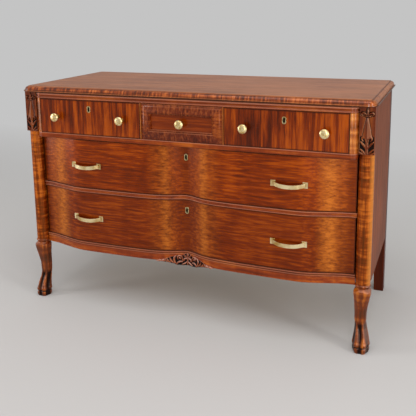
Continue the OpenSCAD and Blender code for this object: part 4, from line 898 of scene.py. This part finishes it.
# quarter-sawn: straight upright ribbons of red brown and amber, with painted shade along the edges
ribbon_mahogany = mahogany(
    "ribbon_mahogany_front", "#380a00", "#722400", "#a84a06", grain="Z", stripe=0.006,
    spread=0.38, flecks=0.6, seed=8.4, gloss=0.26, coat=0.25,
    seam_shade=(low.x, high.x, low.z, high.z))
for node in ("left_drawer_front", "right_drawer_front"):
    dress(node, ribbon_mahogany)
front_highlight_and_shade_bends = (
    # distance from the middle, and the painted highlight and painted shade there: the hollow, its
    # shoulders, the flanks
    (0.000, 0, 0.30), (0.022, 0, 0.25), (0.045, 0.12, 0), (0.066, 0.45, 0), (0.095, 0.12, 0),
    (0.14, 0, 0), (0.43, 0, 0), (0.478, 0.60, 0), (0.515, 0.18, 0), (0.545, 0, 0.25))
for node, seed, brown, amber in (
        ("upper_long_drawer_front", 9.2, "#762400", "#aa4a06"),
        ("lower_long_drawer_front", 3.7, "#6c2000", "#9c4408")):
    low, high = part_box(node)
    # figured: long ripples, with painted amber highlights where the front swells towards the
    # light, and painted shade in the hollow, at the ends and along the edges
    figured_mahogany = mahogany(
        node.replace("drawer_front", "figured_mahogany"), "#400a00", brown, amber, grain="X",
        stripe=0.0032, bar=0.30, bar_pitch=0.030, swirl=0.012, flecks=0.75, spread=0.46,
        seed=seed, gloss=0.26, coat=0.15, fire=0.25, highlight_and_shade_bends=front_highlight_and_shade_bends,
        seam_shade=(-1.0, high.x, low.z, high.z))
    dress(node, figured_mahogany)

# crossbanded: fine short stripes across the frame, with a painted highlight on the slopes that
# face up
banding = mahogany(
    "crossbanded_mahogany_frame", "#300802", "#62200a", "#944a20", grain="Z", stripe=0.003,
    spread=0.46, seed=8.8, gloss=0.24, coat=0.25, highlight_colour="#bc7450",
    painted_highlight=0.5, painted_highlight_to=(0, -0.25, 0.97), painted_highlight_from=0.42)
# the same at the frame's two ends, with the stripes level and the painted highlight on the slopes
# that face outward
banding_across = mahogany(
    "crossbanded_mahogany_ends", "#3c0c02", "#6c2406", "#9c4c18", grain="X", stripe=0.003,
    spread=0.46, seed=8.8, gloss=0.24, coat=0.2, highlight_colour="#c07040",
    painted_highlight=0.5, painted_highlight_to=(0.9, -0.4, 0.2), painted_highlight_from=0.5)
# plain-sawn: a quiet, even red brown
panel_mahogany = mahogany(
    "plain_mahogany_panel", "#541800", "#742800", "#943e08", grain="X", stripe=0.003,
    spread=0.5, seed=8.1, gloss=0.26, coat=0.35)
low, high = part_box("middle_drawer_front")
frame_steps = [
    # how far in, and how far out; metres
    (0.0008, 0.0008), (0.0050, 0.0000), (0.0010, 0.0010), (0.0060, 0.0014), (0.0060, 0.0024),
    (0.0050, 0.0024), (0.0030, 0.0006), (0.0012, -0.0008), (0.0010, -0.0034), (0.0010, -0.0004),
    (0.0008, 0.0010), (0.0016, 0.0000), (0.0010, -0.0016), (0.0010, -0.0054),
]
# the frame's edge starts this far behind the CAD box's front; its crest ends 6.6 mm before it
edge_back = Vector((0, 0.0020, 0))
bm = bmesh.new()
corners = bmesh.ops.create_cube(bm, size=1)["verts"]
bmesh.ops.scale(bm, vec=high - low - edge_back, verts=corners)
bmesh.ops.translate(bm, vec=(low + high + edge_back) / 2, verts=corners)
bm.faces.ensure_lookup_table()
panel = min(bm.faces, key=lambda f: f.calc_center_median().y)
for thickness, depth in frame_steps:
    bmesh.ops.inset_region(
        bm, faces=[panel], thickness=thickness, depth=depth, use_even_offset=True)
middle = (low + high) / 2
for face in bm.faces:
    c = face.calc_center_median()
    from_end = (high.x - low.x) / 2 - abs(c.x - middle.x)
    from_edge = (high.z - low.z) / 2 - abs(c.z - middle.z)
    face.material_index = 1 if from_end < from_edge else 0
panel.material_index = 2
bmesh.ops.recalc_face_normals(bm, faces=bm.faces)
framed = link_mesh(bm, "middle_drawer_framed_front", [banding, banding_across, panel_mahogany])
shade(framed, 45)
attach(framed, "middle_drawer")
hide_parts("middle_drawer_front")

# Drawer boxes
# Planed poplar like the inner frame: the sides are dovetailed to the fronts, and the backs
# and bottoms are let into grooves.
for drawer in ("left_drawer", "middle_drawer", "right_drawer", "upper_long_drawer",
               "lower_long_drawer"):
    dress(drawer + "_sides", poplar_deep)
    for part in ("back", "bottom"):
        dress(drawer + "_" + part, poplar)

# Locks
# Iron cases let into the backs of four fronts. The walls of the keyhole bored through each
# # front to its lock take the lock's black iron, as painted shade.
# old iron: black and dull, with a trace of brown in soft spots a few millimetres wide
soot_spot = 1 / 400
dark_iron, tree, out = new_material("blackened_iron_lock_and_keyhole_shade")
place = add_node(tree, "TexCoord").outputs["Object"]
soot = add_node(tree, "TexNoise", links={"Vector": place, "Scale": 1 / soot_spot})
ramp = add_node(tree, "ValToRGB", links={"Fac": soot.outputs["Fac"]})
ramp.color_ramp.elements[0].color = linear("#060403")
ramp.color_ramp.elements[1].color = linear("#140c08")
iron = add_node(tree, "BsdfPrincipled", links={
    "Base Color": ramp.outputs["Color"], "Roughness": 0.8, "IOR": 1.5})
tree.links.new(iron.outputs[0], out.inputs["Surface"])
for node in nodes:
    if node.endswith("_lock"):
        dress(node, dark_iron)
        front = nodes[node.replace("_lock", "_front")]
        front.data.materials.append(dark_iron)
        low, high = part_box(node.replace("_lock", "_escutcheon"))
        for face in front.data.polygons:
            c = face.center
            if low.x < c.x < high.x and low.z < c.z < high.z and abs(face.normal.y) < 0.5:
                face.material_index = len(front.data.materials) - 1


# Brass knobs
# Cast and turned brass, lacquered once and now a little tarnished: a domed head on a slim
# neck with a flange, held by a stud and a nut from inside the drawer.
def cast_brass(name, dark, light, rough_low, rough_high, spots=0.006, keyhole=None):
    """Polished brass with soft spots of tarnish, their width in metres. Round a keyhole, given
    as its x and z and how far the painted shade reaches sideways and up, the brass is painted
    nearly black as the keyhole's shade."""
    material, tree, out = new_material(name)
    place = add_node(tree, "TexCoord").outputs["Object"]
    tarnish = add_node(tree, "TexNoise", links={
        "Vector": place, "Scale": 1 / spots, "Detail": 2.0})
    ramp = add_node(tree, "ValToRGB", links={"Fac": tarnish.outputs["Fac"]})
    ramp.color_ramp.elements[0].position = 0.32
    ramp.color_ramp.elements[0].color = linear(dark)
    ramp.color_ramp.elements[1].position = 0.62
    ramp.color_ramp.elements[1].color = linear(light)
    rough = add_node(tree, "MapRange", links={
        "Value": tarnish.outputs["Fac"], "From Min": 0.3, "From Max": 0.7,
        "To Min": rough_high, "To Max": rough_low})
    colour = ramp.outputs["Color"]
    if keyhole:
        x, z, reach_x, reach_z = keyhole
        around = add_node(tree, "Mapping", {"vector_type": "POINT"}, {
            "Vector": place, "Location": (-x / reach_x, 0, -z / reach_z),
            "Scale": (1 / reach_x, 0, 1 / reach_z)})
        away = add_node(tree, "VectorMath", {"operation": "LENGTH"}, {0: around.outputs[0]})
        keyhole_shade = add_node(tree, "MapRange", links={
            "Value": away.outputs["Value"], "From Min": 0.85, "From Max": 1.1,
            "To Min": 0.92, "To Max": 0.0})
        colour = add_node(tree, "Mix", {"data_type": "RGBA"}, {
            "Factor": keyhole_shade.outputs["Result"], "A": colour, "B": linear("#120a04")}
        ).outputs["Result"]
    metal = add_node(tree, "BsdfPrincipled", links={
        "Base Color": colour, "Metallic": 1.0, "Roughness": rough.outputs["Result"]})
    tree.links.new(metal.outputs[0], out.inputs["Surface"])
    return material


# polished: pale gold with a broad soft highlight
knob_brass = cast_brass("polished_brass_knob", "#caa45c", "#f6e2ae", 0.26, 0.38)
# brown and duller than the head
neck_brass = cast_brass("dark_brass_neck", "#4c3414", "#a08040", 0.34, 0.50)
neck_reach = 0.0125
knob_profile = [
    # distance from the face of the front, then radius; millimetres
    (26.0, 0.0), (25.9, 3.6), (25.5, 7.2), (24.8, 10.4), (23.6, 13.0), (22.2, 14.5), (20.8, 15.0),
    (19.4, 14.8), (18.2, 13.4), (17.0, 10.6), (15.4, 7.2), (13.4, 4.8), (11.0, 3.9), (8.0, 3.6),
    (5.0, 3.7), (3.6, 4.4), (2.6, 6.0), (1.8, 7.4), (1.0, 7.8), (0.0, 7.8), (0.0, 2.0),
]
stud_radius = 0.002
stud_past_nut = 0.0015
nut_radius = 0.0050
nut_thickness = 0.003


def turned_knob(bm, x, face_y, z, back_y, end_y):
    """One knob on the front's face at x and z, with its stud and nut behind back_y."""
    turned = [Vector((x + radius / 1000, face_y - out / 1000, z)) for out, radius in knob_profile]
    turned += [Vector((x + stud_radius, end_y, z)), Vector((x, end_y, z))]
    turn_on_lathe(bm, turned, (x, 0, z), (0, 1, 0), 40)
    nut = [Vector((x + r, y, z)) for r, y in (
        (stud_radius, back_y), (nut_radius, back_y), (nut_radius, back_y + nut_thickness),
        (stud_radius, back_y + nut_thickness), (stud_radius, back_y))]
    turn_on_lathe(bm, nut, (x, 0, z), (0, 1, 0), 6)


for node in ("left_drawer_knobs", "middle_drawer_knob", "right_drawer_knobs"):
    low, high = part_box(node)
    head_r = max(radius for _, radius in knob_profile) / 1000
    reach = knob_profile[0][0] / 1000
    back_y = high.y - nut_thickness - stud_past_nut
    bm = bmesh.new()
    for x in sorted({round(low.x + head_r, 4), round(high.x - head_r, 4)}):
        turned_knob(bm, x, low.y + reach, (low.z + high.z) / 2, back_y, high.y)
    bmesh.ops.remove_doubles(bm, verts=bm.verts, dist=same_place)
    bmesh.ops.recalc_face_normals(bm, faces=bm.faces)
    for face in bm.faces:
        face.material_index = int(face.calc_center_median().y > low.y + neck_reach)
    knobs = link_mesh(bm, node.replace("_knob", "_turned_knob"), [knob_brass, neck_brass])
    shade(knobs, 40)
    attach(knobs, node.split("_drawer")[0] + "_drawer")
    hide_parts(node)

# Pulls, keyhole plates and lock bolts
# The pulls are cast straps between two pads, screwed from inside; the keyhole plates are
# let into the wood round each keyhole, and the locks' bolts are of the pulls' brass.
# kept bright by hands: pale gold with a sharper highlight
pull_brass = cast_brass("aged_brass_pull", "#be9856", "#fae6b4", 0.18, 0.27, spots=0.03)
keyhole_shade_reach = (0.0042, 0.0090)
for node in nodes:
    if node.endswith("pulls"):
        dress(node, pull_brass, ease_width=0.0012, ease_steps=3)
    elif node.endswith("bolt"):
        dress(node, pull_brass)
    elif node.endswith("escutcheon"):
        low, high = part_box(node)
        # dull yellow, with painted shade nearly black in a ring round the hole
        plate_brass = cast_brass(
            node + "_brass", "#9c8450", "#d8c898", 0.34, 0.46, spots=0.004,
            keyhole=((low.x + high.x) / 2, (low.z + high.z) / 2, *keyhole_shade_reach))
        dress(node, plate_brass, ease_width=0.0003)
